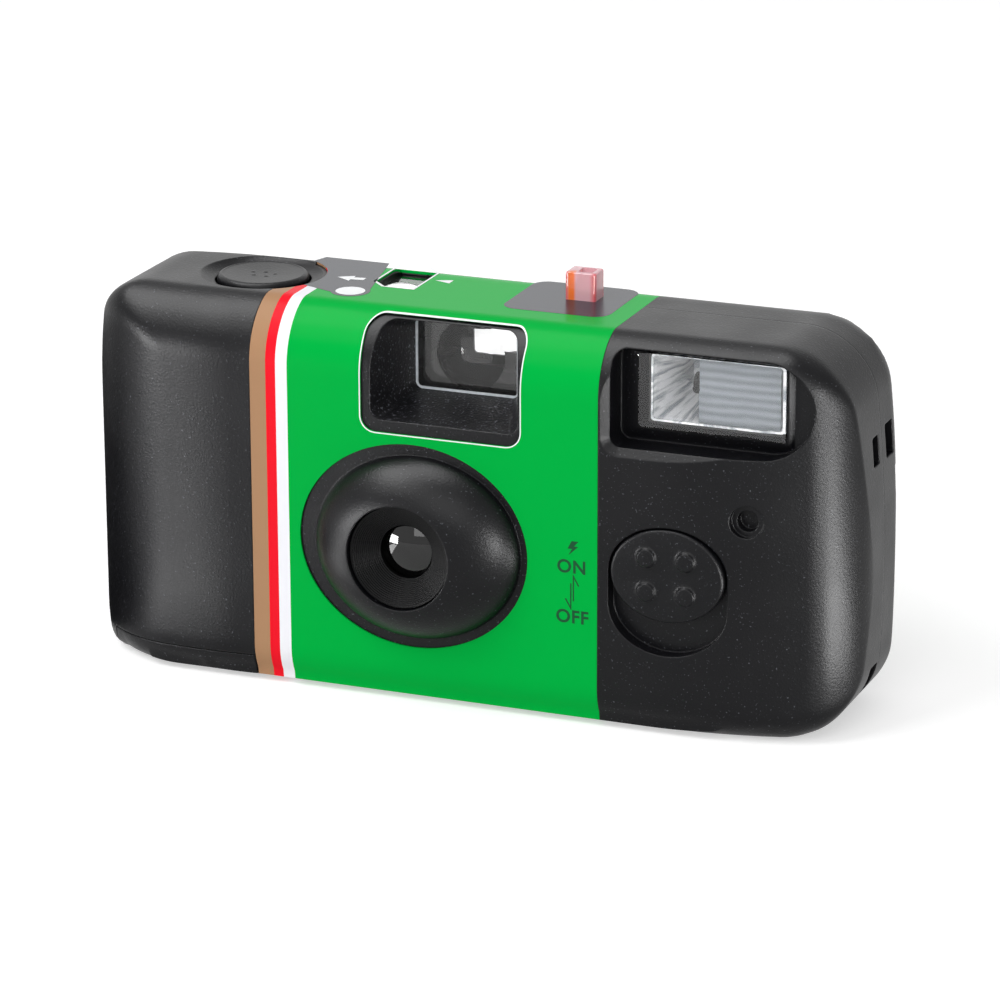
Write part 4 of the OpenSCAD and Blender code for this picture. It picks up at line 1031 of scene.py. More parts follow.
@dataclass
class Openings:
    """The holes, pockets and steps that covers and label share."""

    form: CaseForm
    label_x: Pair = (-27.1, 21.1)
    label_sink: float = 0.28
    finder: Pair = (-0.45, 45.0)
    finder_size: Pair = (14.4, 9.6)
    mouth_x: Pair = (-10.4, 10.2)
    mouth_z: Pair = (38.2, 51.7)
    card_x: Pair = (-11.5, 10.5)
    card_z: Pair = (36.7, 51.4)
    objective_y: float = -1.9
    flash_x: Pair = (22.4, 48.6)
    flash_z: Pair = (38.1, 50.5)
    flash_floor: float = -6.6
    window: Four = (26.65, 44.35, 41.0, 49.8)
    knob: Pair = (7.6, 6.2)
    knob_at: Pair = (30.4, 21.9)
    travel: float = 4.3
    slot_floor: float = -9.5
    button: Pair = (-31.7, 3.4)
    button_r: float = 6.1
    deck_z: float = 47.8
    deck_edge: tuple[Pair, ...] = (
        (-22.6, 12.9),
        (-27.2, 12.4),
        (-33.0, 12.2),
        (-46.0, 9.6),
        (-56.0, 8.2),
    )
    notch_z: float = 44.2
    notch_x1: float = -27.2
    lid_x: Pair = (-49.2, -27.3)
    lid_y1: float = 11.5
    lid_wall_y1: float = 7.5
    lid_h: float = 3.7
    lid_gap: float = 0.15
    knuckle_r: float = 0.6
    knuckle_gap: float = 0.4
    plinth_rise: float = 0.55
    plinth_foot: Four = (22.95, 45.6, 38.55, 50.3)
    plinth_head: Four = (24.75, 44.95, 39.75, 49.95)
    rim: float = 1.1
    rim_depth: float = 0.8
    counter: Four = (-15.8, -10.2, 2.9, 12.8)
    counter_cut: float = 2.0
    guide: Four = (10.275, 14.425, 5.2, 8.6)
    guide_room: float = 0.3
    top_cut: Pair = (49.0, 54.0)
    eye: Pair = (9.0, 6.6)
    mouth_round: float = 1.6
    objective_round: float = 1.2
    card_round: float = 2.0
    flash_round: float = 1.5

    def about_finder(self, size: Pair) -> Four:
        """The box of a width and height about the finder's axis, in x and z."""
        (x, z), (w, h) = self.finder, size
        return (x - w / 2, x + w / 2, z - h / 2, z + h / 2)

    def finder_rings(self, grow: float) -> Array:
        """Rings of the finder pocket: the mouth, carried forward, tapering to the objective.

        Args:
            grow: How far outside the pocket the rings lie.

        Returns:
            Three rings.
        """
        mouth = round_box((*self.mouth_x, *self.mouth_z), self.mouth_round, grow)
        end = round_box(self.about_finder(self.finder_size), self.objective_round, grow)
        y = self.form.front
        return stacked("y", (mouth, y - 2), (mouth, y), (end, self.objective_y))

    def flash_outline(self, grow: float) -> Array:
        """Outline of the flash pocket: a rectangle with small left corners and a half-round right end.

        Args:
            grow: How far outside the pocket it lies.

        Returns:
            Points in x and z.
        """
        (x0, x1), (z0, z1) = self.flash_x, self.flash_z
        r = (z1 - z0) / 2
        t = np.linspace(-np.pi / 2, np.pi / 2, 40)
        bow = np.stack([x1 - r + (r + grow) * np.cos(t), (z0 + z1) / 2 + (r + grow) * np.sin(t)], axis=1)
        box = round_box((x0 - grow, x1, z0 - grow, z1 + grow), self.flash_round + grow)
        # Of the rectangle only its two left corners, of 12 points each.
        return np.concatenate([bow, box[12:36]])

    def slider_outline(self, grow: float) -> Array:
        """Outline of the slider's recess: half ovals a travel apart.

        Args:
            grow: How far outside the knob's path it lies.

        Returns:
            Points in x and z.
        """
        a, b = self.knob[0] + grow, self.knob[1] + grow
        t = np.linspace(0, np.pi, 49)
        up = np.stack([self.knob_at[0] + a * np.cos(t), self.knob_at[1] + b * np.sin(t)], axis=1)
        down = np.stack(
            [self.knob_at[0] - a * np.cos(t), self.knob_at[1] - self.travel - b * np.sin(t)], axis=1
        )
        return np.concatenate([up, down])

    def counter_plan(self, grow: float) -> Array:
        """Outline of the counter window: a rectangle with two opposite corners cut off.

        Args:
            grow: How far outside the hole it lies.

        Returns:
            Points in x and y.
        """
        x0, x1, y0, y1 = (c + s * grow for c, s in zip(self.counter, (-1, 1, -1, 1)))
        k = self.counter_cut
        return np.array([[x0 + k, y0], [x1, y0], [x1, y1 - k], [x1 - k, y1], [x0, y1], [x0, y0 + k]])

    def top_holes(self, grow: float) -> list[Solid]:
        """Cutters for the counter window and the light guide.

        Args:
            grow: How far outside the holes they reach.

        Returns:
            The two cutters.
        """
        guide = round_box(self.guide, 0.3, self.guide_room + grow, 5)
        return [
            prism("counter_hole", self.counter_plan(grow), "z", *self.top_cut),
            prism("guide_hole", guide, "z", *self.top_cut),
        ]

    def front_space(self) -> Solid:
        """Space of the front cover: all ahead of the joint, and the button deck behind it.

        Returns:
            The space as a solid.
        """
        f = self.form
        space = block("front_space", (f.left - 2, f.front - 8, -2), (f.right + 2, f.seam, f.top + 2))
        deck = np.array([(f.left - 2, f.seam - 1), (self.deck_edge[0][0], f.seam - 1), *self.deck_edge])
        return carve(space, Cut.JOIN, prism("deck", deck, "z", self.deck_z, f.top + 1.5))

    def lid_space(self, grow: float, room: float) -> Solid:
        """Space of the base flap: walls in front, a floor that reaches the knuckle, and the knuckle.

        Args:
            grow: How far outside the flap it lies.
            room: The same round the knuckle.

        Returns:
            The space as a solid.
        """
        y0, y1, r = self.form.front - 1, self.lid_y1, self.knuckle_r
        x0, x1 = self.lid_x[0] - grow, self.lid_x[1] + grow
        return carve(
            block("lid_space", (x0, y0, -1.0), (x1, self.lid_wall_y1 + grow, self.lid_h + grow)),
            Cut.JOIN,
            block("floor_space", (x0, y0, -1.0), (x1, y1, self.form.wall + grow)),
            peg("knuckle", (y1, r), r + room, "x", x0, x1, 32),
        )

    def flash_pocket(self) -> Solid:
        """Cutter for the flash pocket: straight walls, with a sloped rim where the front is flat.

        Returns:
            The cutter.
        """
        y = self.form.front
        rings = [(self.rim, y - 1.0), (self.rim, y), (0.0, y + self.rim_depth), (0.0, self.flash_floor)]
        return loft("flash_pocket", stacked("y", *((self.flash_outline(g), at) for g, at in rings)))

    def plinth(self) -> Solid:
        """The raised block under the flash window: a rectangle that draws in as it rises.

        Returns:
            The block as a solid, to be joined to the cover.
        """
        foot, head = (round_box(box, 0.25, n=4) for box in (self.plinth_foot, self.plinth_head))
        y = self.flash_floor
        return loft("plinth", stacked("y", (foot, y + 0.6), (foot, y), (head, y - self.plinth_rise)))

    def label_step(self) -> Solid:
        """What is taken off the case where the label lies: a band less the sunk skin.

        Returns:
            The cutter.
        """
        f, (x0, x1) = self.form, self.label_x
        band = block("label_step", (x0, f.front - 1, -1), (x1, f.back + 4, f.top + 1))
        return carve(band, Cut.TAKE_AWAY, f.skin("sunk", self.label_sink))

    def latches(self, windows: tuple[Four, ...]) -> list[Solid]:
        """Cutters for latch windows in the right end, each y0, y1, z0, z1."""
        x = self.form.right
        return [prism("latch", round_box(window, 0.4, n=5), "x", x - 4, x + 2) for window in windows]


@dataclass
class LensDome:
    """The domed lens surround with its stepped barrel and lens."""

    x: float = -4.35
    z: float = 21.7
    front: float = -11.5
    height: float = 5.5
    foot: Pair = (14.2, 12.3)
    foot_shift: float = 0.7
    foot_depth: float = 1.2
    border: Pair = (15.9, 13.8)
    lip_r: float = 6.5
    power: float = 1.25
    grid: tuple[int, int] = (30, 120)
    bore_r: float = 7.0
    bore_y: Pair = (-7.0, 2.2)
    grooves: int = 14
    cone_y: Pair = (-4.7, -1.7)
    cone_base: float = 0.7
    cone_lip: float = 0.5
    sight_r: float = 3.6
    lens_r: float = 4.4
    lens_y: float = -2.6
    lens_back: float = 3.0
    lens_curves: Pair = (8.0, 13.0)

    def shell(self) -> Solid:
        """The dome: a superellipse from the oval foot up to the round lip, where it is highest.

        Over angle f from 0 to a right angle, the way left to the lip is cos f to a power and the height is
        sin f to the same power. The foot's middle lies a little to the right of the lip's.

        Returns:
            The dome as a closed solid, to be joined to the cover.
        """
        rows, columns = self.grid
        f = np.linspace(0, np.pi / 2, rows)[:, None]
        s = np.abs(np.cos(f)) ** self.power
        t = np.linspace(0, 2 * np.pi, columns, endpoint=False)
        a, b = (self.lip_r + (half - self.lip_r) * s for half in self.foot)
        x = self.x + self.foot_shift * s + a * np.cos(t)
        y = self.front - self.height * np.sin(f) ** self.power
        rings = np.stack([x, np.broadcast_to(y, x.shape), self.z + b * np.sin(t)], axis=-1)
        foot = rings[:1].copy()
        foot[..., 1] = self.front + self.foot_depth
        return loft("dome", np.concatenate([foot, rings]))

    def bore(self) -> Solid:
        """Cutter for the opening in the dome."""
        y0, y1 = (self.front + d for d in self.bore_y)
        return peg("bore", (self.x, self.z), self.bore_r, "y", y0, y1)

    def barrel(self) -> Solid:
        """The light baffle: a hollow cone whose slope is cut by fine grooves, a saw of treads and risers.

        Returns:
            The baffle ring.
        """
        y0, y1 = (self.front + d for d in self.cone_y)
        r0, r1 = self.bore_r - self.cone_lip, self.sight_r
        i = np.arange(self.grooves)
        dr, dy = (r0 - r1) / self.grooves, (y1 - 0.5 - y0) / self.grooves
        corners = ((0.0, 0.0), (0.15, 0.75), (0.45, 1.0))
        saw = [np.stack([r0 - dr * (i + a), y0 + dy * (i + b)], axis=1) for a, b in corners]
        treads = np.stack(saw, axis=1).reshape(-1, 2)
        outer = self.bore_r - 0.05
        base = self.front + self.cone_base
        lip = [[outer, base], [outer, y0 + 0.15], [outer - 0.15, y0 - 0.05]]
        profile = np.concatenate([lip, treads, [[r1, y1 - 0.5], [r1, base]]])
        ring = spin("lens_barrel", profile, (self.x, 0.0, self.z), "y", 120, closed=True)
        return place(ring, GROOVE_BLACK, "inner_black", Body.CASE, "lens_ring")

    def lens(self) -> Solid:
        """The taking lens: a strong front curve and a hollow back, both parts of spheres, about its axis.

        At radius r a sphere of radius R lies R - sqrt(R^2 - r^2) behind its foremost point.

        Returns:
            The lens.
        """
        back = self.front + self.lens_back
        bold, hollow = self.lens_curves
        r = np.linspace(0.02, self.sight_r - 0.1, 20)
        front = np.stack([r, self.front + self.lens_y + bold - np.sqrt(bold**2 - r * r)], axis=1)
        flange = [[self.sight_r - 0.1, back - 2.2], [self.lens_r - 0.05, back - 1.8]]
        r = np.linspace(self.lens_r - 0.05, 0.02, 24)
        rear = np.stack([r, back - 0.8 + hollow - np.sqrt(hollow**2 - r * r)], axis=1)
        profile = np.concatenate([front, flange, rear])
        made = spin("taking_lens_glass", profile, (self.x, 0.0, self.z), "y", 96)
        return place(made, LENS_CLEAR, "clear", Body.CASE, "taking_lens")


@dataclass
class Covers:
    """The front and rear covers, the base flap and the label band."""

    form: CaseForm
    holes: Openings
    dome: LensDome
    tool: Pair = (40.55, 29.95)
    tool_r: float = 1.4
    tool_step_r: float = 2.15
    boss_r: float = 2.0
    dish: tuple[Pair, ...] = ((0.5, -0.9), (0.9, -0.8), (1.6, -0.5), (2.0, -0.2), (2.3, 0.05), (2.3, 1.0))
    ring_wall: float = 2.8
    stem_half: Pair = (1.8, 1.6)
    stem_y: float = -8.3
    window_room: float = 0.25
    pocket_room: float = 0.2
    pocket_depth: float = 0.5
    hub_r: float = 4.6
    card: float = 0.25
    card_gap: float = 0.03
    latch_front: tuple[Four, ...] = ((1.7, 4.2, 35.0, 38.9), (1.9, 4.9, 4.4, 8.0))
    latch_back: tuple[Four, ...] = (
        (7.0, 10.2, 34.8, 39.3),
        (10.6, 12.6, 29.4, 33.0),
        (10.9, 13.0, 7.8, 11.6),
    )

    def fittings(self) -> Solid:
        """Walls behind the front: finder sleeve, flash box, slider box, button ring and deck skirt.

        Returns:
            The walls as one solid, to be joined to the cover.
        """
        f, h = self.form, self.holes
        made = loft("fittings", h.finder_rings(1.0))
        ring = peg("ring", h.button, h.button_r + self.ring_wall, "z", 50.15, f.top)
        edge = np.array(h.deck_edge)
        skirt = prism("skirt", np.concatenate([edge, edge[::-1] - [0, f.wall]]), "z", h.deck_z, f.top - 1)
        carve(
            made,
            Cut.JOIN,
            prism("flash_box", h.flash_outline(1.0), "y", f.front, h.flash_floor + 1),
            prism("slider_box", h.slider_outline(1.15), "y", f.front, h.slot_floor + 1),
            carve(ring, Cut.KEEP_INSIDE, h.front_space()),
            skirt,
        )
        return carve(made, Cut.KEEP_INSIDE, f.skin("limit", h.label_sink))

    def front(self) -> Solid:
        """The front cover: the hollowed skin ahead of the joint, its fittings and dome, and every opening.

        Returns:
            The front cover.
        """
        f, h = self.form, self.holes
        made = f.skin("front_cover_shell", 0.0)
        carve(made, Cut.TAKE_AWAY, h.label_step(), f.hollow())
        carve(made, Cut.KEEP_INSIDE, h.front_space())
        (kx, kz), (sx, sz) = h.knob_at, self.stem_half
        dish = np.array(self.dish) + [h.button_r, 0.0]
        lip = float(f.front_at(np.array([self.tool[0]]), np.array([self.tool[1]]))[0])
        boss = peg("tool_boss", self.tool, self.boss_r, "y", lip + 0.8, lip + 2.4, 48)
        carve(made, Cut.JOIN, self.fittings(), self.dome.shell(), boss)
        carve(
            made,
            Cut.TAKE_AWAY,
            self.dome.bore(),
            loft("finder_pocket", h.finder_rings(0.0)),
            h.flash_pocket(),
            prism("recess", h.slider_outline(0.25), "y", f.front - 1, h.slot_floor),
            block("stem_slot", (kx - sx, f.front, kz - h.travel - sz), (kx + sx, self.stem_y, kz + sz)),
            peg("tool_hole", self.tool, self.tool_r, "y", f.front, lip + 1.9, 40),
            peg("tool_step", self.tool, self.tool_step_r, "y", f.front - 2, lip + 0.6, 48),
            peg("button_hole", h.button, h.button_r + 0.3, "z", 48.0, 54.0),
            spin("dish", dish, (*h.button, f.top), "z"),
            h.lid_space(h.lid_gap, h.knuckle_gap),
            *h.top_holes(0.0),
            *h.latches(self.latch_front),
        )
        carve(made, Cut.JOIN, h.plinth())
        hole = round_box(h.window, 0.3, self.window_room, 5)
        carve(made, Cut.TAKE_AWAY, prism("window_hole", hole, "y", -10, -4))
        tidy(made)
        place(made, BLACK_CASE, "case_black", Body.CASE, "front_cover")
        self.grain_pocket(made)
        return made

    def grain_pocket(self, cover: Solid) -> None:
        """Gives the faces of the finder's pocket, all those well under the skin, their coarser texture with
        more painted glints.

        Args:
            cover: The finished front cover.
        """
        f, h, room = self.form, self.holes, self.pocket_room
        middle = np.empty(len(cover.data.polygons) * 3)
        cover.data.polygons.foreach_get("center", middle)
        p = middle.reshape(-1, 3) / MM
        across = (p[:, 0] > h.mouth_x[0] - room) & (p[:, 0] < h.mouth_x[1] + room)
        height = (p[:, 2] > h.mouth_z[0] - room) & (p[:, 2] < f.top)
        deep = (p[:, 1] < h.objective_y + 0.1) & (f.field(p) < -self.pocket_depth)
        cover.data.materials.append(FINISHES.of(POCKET_BLACK))
        cover.data.polygons.foreach_set("material_index", (across & height & deep).astype(np.int32))

    def rear(self) -> Solid:
        """The rear cover: the skin behind the joint with film chamber, wheel notch, roof and openings.

        Returns:
            The rear cover.
        """
        f, h = self.form, self.holes
        made = f.skin("rear_cover_shell", 0.0)
        x1, z = h.notch_x1, h.notch_z
        room = carve(
            f.hollow(),
            Cut.TAKE_AWAY,
            block("roof", (f.left, f.seam, z - 1), (x1 + f.wall, f.back + 3, z)),
            block("cheek", (x1, 9.9, z - 1), (x1 + f.wall, f.back, f.top)),
        )
        carve(
            made,
            Cut.TAKE_AWAY,
            h.label_step(),
            room,
            block("ahead", (f.left - 2, f.front - 9, -2), (f.right + 2, f.seam, f.top + 2)),
            h.front_space(),
            peg("chamber", f.axis, f.bulge_r - f.wall, "z", f.wall, z - 1),
            peg("hub_hole", f.axis, self.hub_r, "z", z - 2, z + 1, 48),
            block("notch", (f.left - 2, f.seam - 1, z), (x1, f.back + 4, f.top + 2)),
            h.lid_space(h.lid_gap, h.knuckle_gap),
            *h.top_holes(0.0),
            prism("eye_hole", round_box(h.about_finder(h.eye), 0.8), "y", 13.4, f.back + 1),
            *h.latches(self.latch_back),
        )
        tidy(made)
        return place(made, BLACK_CASE, "case_black", Body.CASE, "rear_cover")

    def flap(self) -> Solid:
        """The base flap: the shell's skin inside the flap's space, with a knuckle at the back.

        Returns:
            The flap, on its own body.
        """
        f, h = self.form, self.holes
        made = f.skin("base_flap_shell", 0.0)
        carve(made, Cut.TAKE_AWAY, f.hollow())
        carve(made, Cut.JOIN, peg("knuckle", (h.lid_y1, h.knuckle_r), h.knuckle_r, "x", *h.lid_x, n=32))
        carve(made, Cut.KEEP_INSIDE, h.lid_space(0.0, 0.0))
        tidy(made)
        return place(made, BLACK_CASE, "case_black", Body.FLAP, "cartridge_lid")

    def objective_edge(self) -> Solid:
        """A painted highlight round the finder's front lens: a thin pale frame that stands for the bright edge
        of its clear plate.

        Returns:
            The frame.
        """
        h = self.holes
        box, y = h.about_finder(h.finder_size), h.objective_y
        made = prism("finder_objective_edge", round_box(box, 0.6, n=5), "y", y - 0.2, y - 0.02)
        carve(made, Cut.TAKE_AWAY, prism("edge_hole", round_box(box, 0.5, -0.3, 5), "y", y - 1, y + 1))
        tidy(made)
        return place(made, EDGE_HIGHLIGHT_FRAME, "clear", Body.CASE)

    def label(self) -> Solid:
        """The label: a card's thickness of the skin round the case, with its cut-outs.

        Returns:
            The label.
        """
        f, h, d = self.form, self.holes, self.dome
        made = f.skin("label_wrap", 0.0)
        x0, x1 = h.label_x[0] + self.card_gap, h.label_x[1] - self.card_gap
        carve(made, Cut.KEEP_INSIDE, block("band", (x0, f.front - 1, -1), (x1, f.back + 4, f.top + 1)))
        card = round_box((*h.card_x, *h.card_z), h.card_round)
        eye = round_box(h.about_finder(h.eye), 1.2, 1.0)
        carve(
            made,
            Cut.TAKE_AWAY,
            f.skin("under", self.card),
            prism("mouth", card, "y", f.front - 1, 0),
            prism("dome_hole", oval(d.x, d.z, *d.border), "y", f.front - 1, 0),
            prism("eye_hole", eye, "y", 12, f.back + 1),
            *h.top_holes(0.2),
            peg("dish_hole", h.button, h.button_r + 2.4, "z", 50, 54),
        )
        tidy(made)
        return place(made, LABEL_CARD, "label", Body.CASE, "label_band")


@dataclass
class Prints:
    """Flat marks of ink on the label: panels, arrows, bolt, switch words, white lines round the cut-outs."""

    form: CaseForm
    holes: Openings
    proud: float = 0.02
    line: float = 0.18
    line_points: int = 240
    counter_line_at: Pair = (0.22, 0.5)
    letter_h: float = 1.75
    cap_share: float = 0.72
    letter_weight: float = 0.06
    letter_gap: float = 1.08
    on_at: Pair = (17.6, 21.6)
    off_at: Pair = (17.7, 14.85)
    bolt_at: Pair = (17.8, 24.2)
    bolt: tuple[Pair, ...] = (
        (0.75, 0.95),
        (-0.2, 0.95),
        (-0.75, -0.1),
        (-0.15, -0.1),
        (-0.65, -1.0),
        (0.7, 0.25),
        (0.1, 0.25),
    )
    half_arrows_at: tuple[Pair, Pair] = ((17.85, 18.35), (17.5, 18.15))
    half_arrow: tuple[Pair, ...] = (
        (0.09, -1.3),
        (0.09, 1.75),
        (0.65, 0.75),
        (0.82, 0.85),
        (-0.02, 2.3),
        (-0.09, 2.3),
        (-0.09, -1.3),
    )
    panel: Four = (3.7, 18.3, -1.4, 12.6)
    panel_round: float = 2.2
    disc: Pair = (-17.2, -1.1)
    disc_r: float = 1.95
    lobe_r: float = 2.6
    lobe_turn: Pair = (35.0, -150.0)
    dish_gap: float = 2.42
    dish_turn: Pair = (-27.0, 62.0)
    field_back: tuple[Pair, Pair] = ((-17.75, 13.3), (-26.9, 13.3))
    arrow_at: Pair = (-19.6, 4.6)
    arrow: tuple[Pair, ...] = (
        (-1.9, 0.0),
        (0.2, 1.25),
        (0.2, 0.55),
        (1.9, 0.75),
        (1.9, -0.3),
        (0.2, -0.55),
        (0.2, -1.25),
    )
    pointer: tuple[Pair, ...] = ((-8.9, 7.7), (-6.6, 8.5), (-6.6, 6.9))

    def sheet(self, name: str, points: Array, faces: list, finish: Finish, facing: Triple) -> Solid:
        """A thin mark of ink.

        Args:
            name: The object's name.
            points: n by 3 array.
            faces: Corner numbers of each face.
            finish: The ink.
            facing: The side that the mark faces.

        Returns:
            The mark.
        """
        mesh = bpy.data.meshes.new(name)
        mesh.from_pydata((points * MM).tolist(), [], faces)
        made = link(name, mesh)
        mesh.update()
        if mesh.polygons[0].normal.dot(Vector(facing)) < 0:
            mesh.flip_normals()
        return place(made, finish, "label", Body.CASE)

    def front_mark(self, name: str, outline: Array, finish: Finish) -> Solid:
        """A flat mark on the front, from an outline in x and z."""
        points = lift(outline, "y", self.form.front - self.proud)
        return self.sheet(name, points, [list(range(len(points)))], finish, (0, -1, 0))

    def top_mark(self, name: str, outline: Array, finish: Finish, layer: int = 1) -> Solid:
        """A flat mark on the top, from an outline in x and y; later layers lie a little higher."""
        points = lift(outline, "z", self.form.top + self.proud * layer)
        return self.sheet(name, points, [list(range(len(points)))], finish, (0, 0, 1))

    def ring(self, name: str, inner: Array, outer: Array, facing: Triple) -> Solid:
        """A white line between two closed rows of points.

        Args:
            name: The object's name.
            inner: Points of the inner row, n by 3.
            outer: Points of the outer row, as many.
            facing: The side that the line faces.

        Returns:
            The line.
        """
        n = len(inner)
        i = np.arange(n)
        k = (i + 1) % n
        faces = np.stack([i, k, k + n, i + n], axis=1).tolist()
        return self.sheet(name, np.concatenate([inner, outer]), faces, WHITE_INK, facing)

    def mouth_line(self) -> None:
        """The line round the finder's cut-out, laid on the curved front."""
        h = self.holes
        rows = []
        for grow in (0.02, self.line):
            outline = round_box((*h.card_x, *h.card_z), h.card_round + grow, grow, 10)
            closed = np.concatenate([outline, outline[:1]])
            along = np.concatenate([[0], np.cumsum(np.hypot(*np.diff(closed, axis=0).T))])
            even = np.linspace(0, 1, self.line_points, endpoint=False) * along[-1]
            flat = np.stack([np.interp(even, along, closed[:, k]) for k in (0, 1)], axis=1)
            depth = self.form.front_at(flat[:, 0], flat[:, 1]) - self.proud
            rows.append(np.insert(flat, 1, depth, axis=1))
        self.ring("print_mouth_line", rows[0], rows[1], (0, -1, 0))

    def counter_line(self) -> None:
        """The line round the counter window's cut-out on the top."""
        z = self.form.top + self.proud
        inner, outer = (lift(self.holes.counter_plan(grow), "z", z) for grow in self.counter_line_at)
        self.ring("print_counter_line", inner, outer, (0, 0, 1))

    def word(self, name: str, text: str, centre: Pair) -> Solid:
        """A switch word on the front, from the built-in letters made into a mesh.

        Args:
            name: The object's name.
            text: The word.
            centre: Its middle, in x and z.

        Returns:
            The word.
        """
        curve = bpy.data.curves.new(name, "FONT")
        curve.body = text
        curve.align_x, curve.align_y = "CENTER", "CENTER"
        curve.size = self.letter_h * MM / self.cap_share
        curve.offset = self.letter_weight * MM
        curve.space_character = self.letter_gap
        holder = link(name, curve)
        bpy.context.view_layer.update()
        mesh = bpy.data.meshes.new_from_object(holder.evaluated_get(bpy.context.evaluated_depsgraph_get()))
        bpy.data.objects.remove(holder)
        spot = Vector((centre[0] * MM, (self.form.front - self.proud) * MM, centre[1] * MM))
        mesh.transform(Matrix.Translation(spot) @ Matrix.Rotation(math.pi / 2, 4, "X"))
        return place(link(name, mesh), GREEN_BLACK_INK, "label", Body.CASE)

    def front_set(self) -> None:
        """The switch words with the bolt over them and the two half arrows between them."""
        self.word("print_on", "ON", self.on_at)
        self.word("print_off", "OFF", self.off_at)
        self.front_mark("print_bolt", np.array(self.bolt) + self.bolt_at, GREEN_BLACK_INK)
        up, (up_at, down_at) = np.array(self.half_arrow), self.half_arrows_at
        self.front_mark("print_half_arrow_up", up + up_at, GREEN_BLACK_INK)
        self.front_mark("print_half_arrow_down", -up + down_at, GREEN_BLACK_INK)

    def top_set(self) -> None:
        """The dark panel round the guide, the dark field beside the dish, its white disc, and two arrows."""
        self.top_mark("print_panel", round_box(self.panel, self.panel_round), DARK_INK)
        h = self.holes
        x, y = self.disc
        t = np.radians(np.linspace(*self.lobe_turn, 22))
        lobe = np.stack([x + self.lobe_r * np.cos(t), y + self.lobe_r * np.sin(t)], axis=1)
        t = np.radians(np.linspace(*self.dish_turn, 24))
        r = h.button_r + self.dish_gap
        dish = np.stack([h.button[0] + r * np.cos(t), h.button[1] + r * np.sin(t)], axis=1)
        right, left = self.field_back
        self.top_mark("print_field", np.concatenate([[right], lobe, dish, [left]]), DARK_INK)
        self.top_mark("print_disc", oval(x, y, self.disc_r, self.disc_r, 40), WHITE_INK, 2)
        self.top_mark("print_arrow_button", np.array(self.arrow) + self.arrow_at, WHITE_INK, 2)
        self.top_mark("print_arrow_counter", np.array(self.pointer), WHITE_INK)

    def build(self) -> None:
        """Lays all the marks."""
        self.mouth_line()
        self.counter_line()
        self.front_set()
        self.top_set()


@dataclass
class ShutterButton:
    """The round shutter button in its dish, with its arm and peg inside."""

    at: Pair = (-31.7, 3.4)
    r: float = 6.1
    top: float = 52.0
    skirt: float = -1.4
    edge_r: float = 0.7
    sink: float = 0.22
    pip: tuple[Pair, ...] = ((0.02, -0.5), (0.4, -0.5), (0.4, -0.25), (0.28, -0.17), (0.02, -0.14))
    pips: tuple[Pair, ...] = ((-1.6, 0.4), (0.0, 0.9), (1.6, 0.4), (-0.9, -1.0), (0.9, -1.0))
    stalk_r: float = 3.0
    stalk_z: Pair = (48.8, 51.0)
    arm_z: Pair = (48.8, 50.0)
    lever: Pair = (-25.7, -5.7)
    drop_half: Pair = (0.5, 0.6)
    drop_z: Pair = (45.1, 49.9)

    def build(self) -> Solid:
        """The cap, turned from a softly rounded profile, on the arm that works the release lever.

        Returns:
            The button, on its own body.
        """
        x, y = self.at
        r = self.edge_r
        t = np.radians(np.linspace(0, 90, 9))
        edge = np.stack([self.r - r + r * np.cos(t), -r + r * np.sin(t)], axis=1)
        crown = np.linspace(self.r - 0.75, 0.05, 14)
        face = np.stack([crown, -self.sink * np.cos(np.pi / 2 * crown / self.r)], axis=1)
        profile = np.concatenate([[[0.05, self.skirt], [self.r, self.skirt]], edge, face])
        cap = spin("shutter_button_cap", profile, (x, y, self.top), "z", 96)
        pip = np.array(self.pip)
        pips = [spin("pip", pip, (x + i, y + j, self.top), "z", 20) for i, j in self.pips]
        start = np.array(self.at)
        way = np.array(self.lever) - start
        length = math.hypot(*way)
        along = way / length
        side = np.array([-along[1], along[0]])
        end = start + along * (length + 0.5)
        arm = np.array([start - side, end - side, end + side, start + side])
        (lx, ly), (hx, hy), (z0, z1) = self.lever, self.drop_half, self.drop_z
        carve(
            cap,
            Cut.JOIN,
            peg("stalk", self.at, self.stalk_r, "z", *self.stalk_z, n=40),
            prism("arm", arm, "z", *self.arm_z),
            block("drop", (lx - hx, ly - hy, z0), (lx + hx, ly + hy, z1)),
            peg("peg", (lx, z0), hx, "y", ly - hy, ly + hy, 24),
            *pips,
        )
        tidy(cap)
        return place(cap, BLACK_CASE, "case_black", Body.BUTTON, "shutter_button")


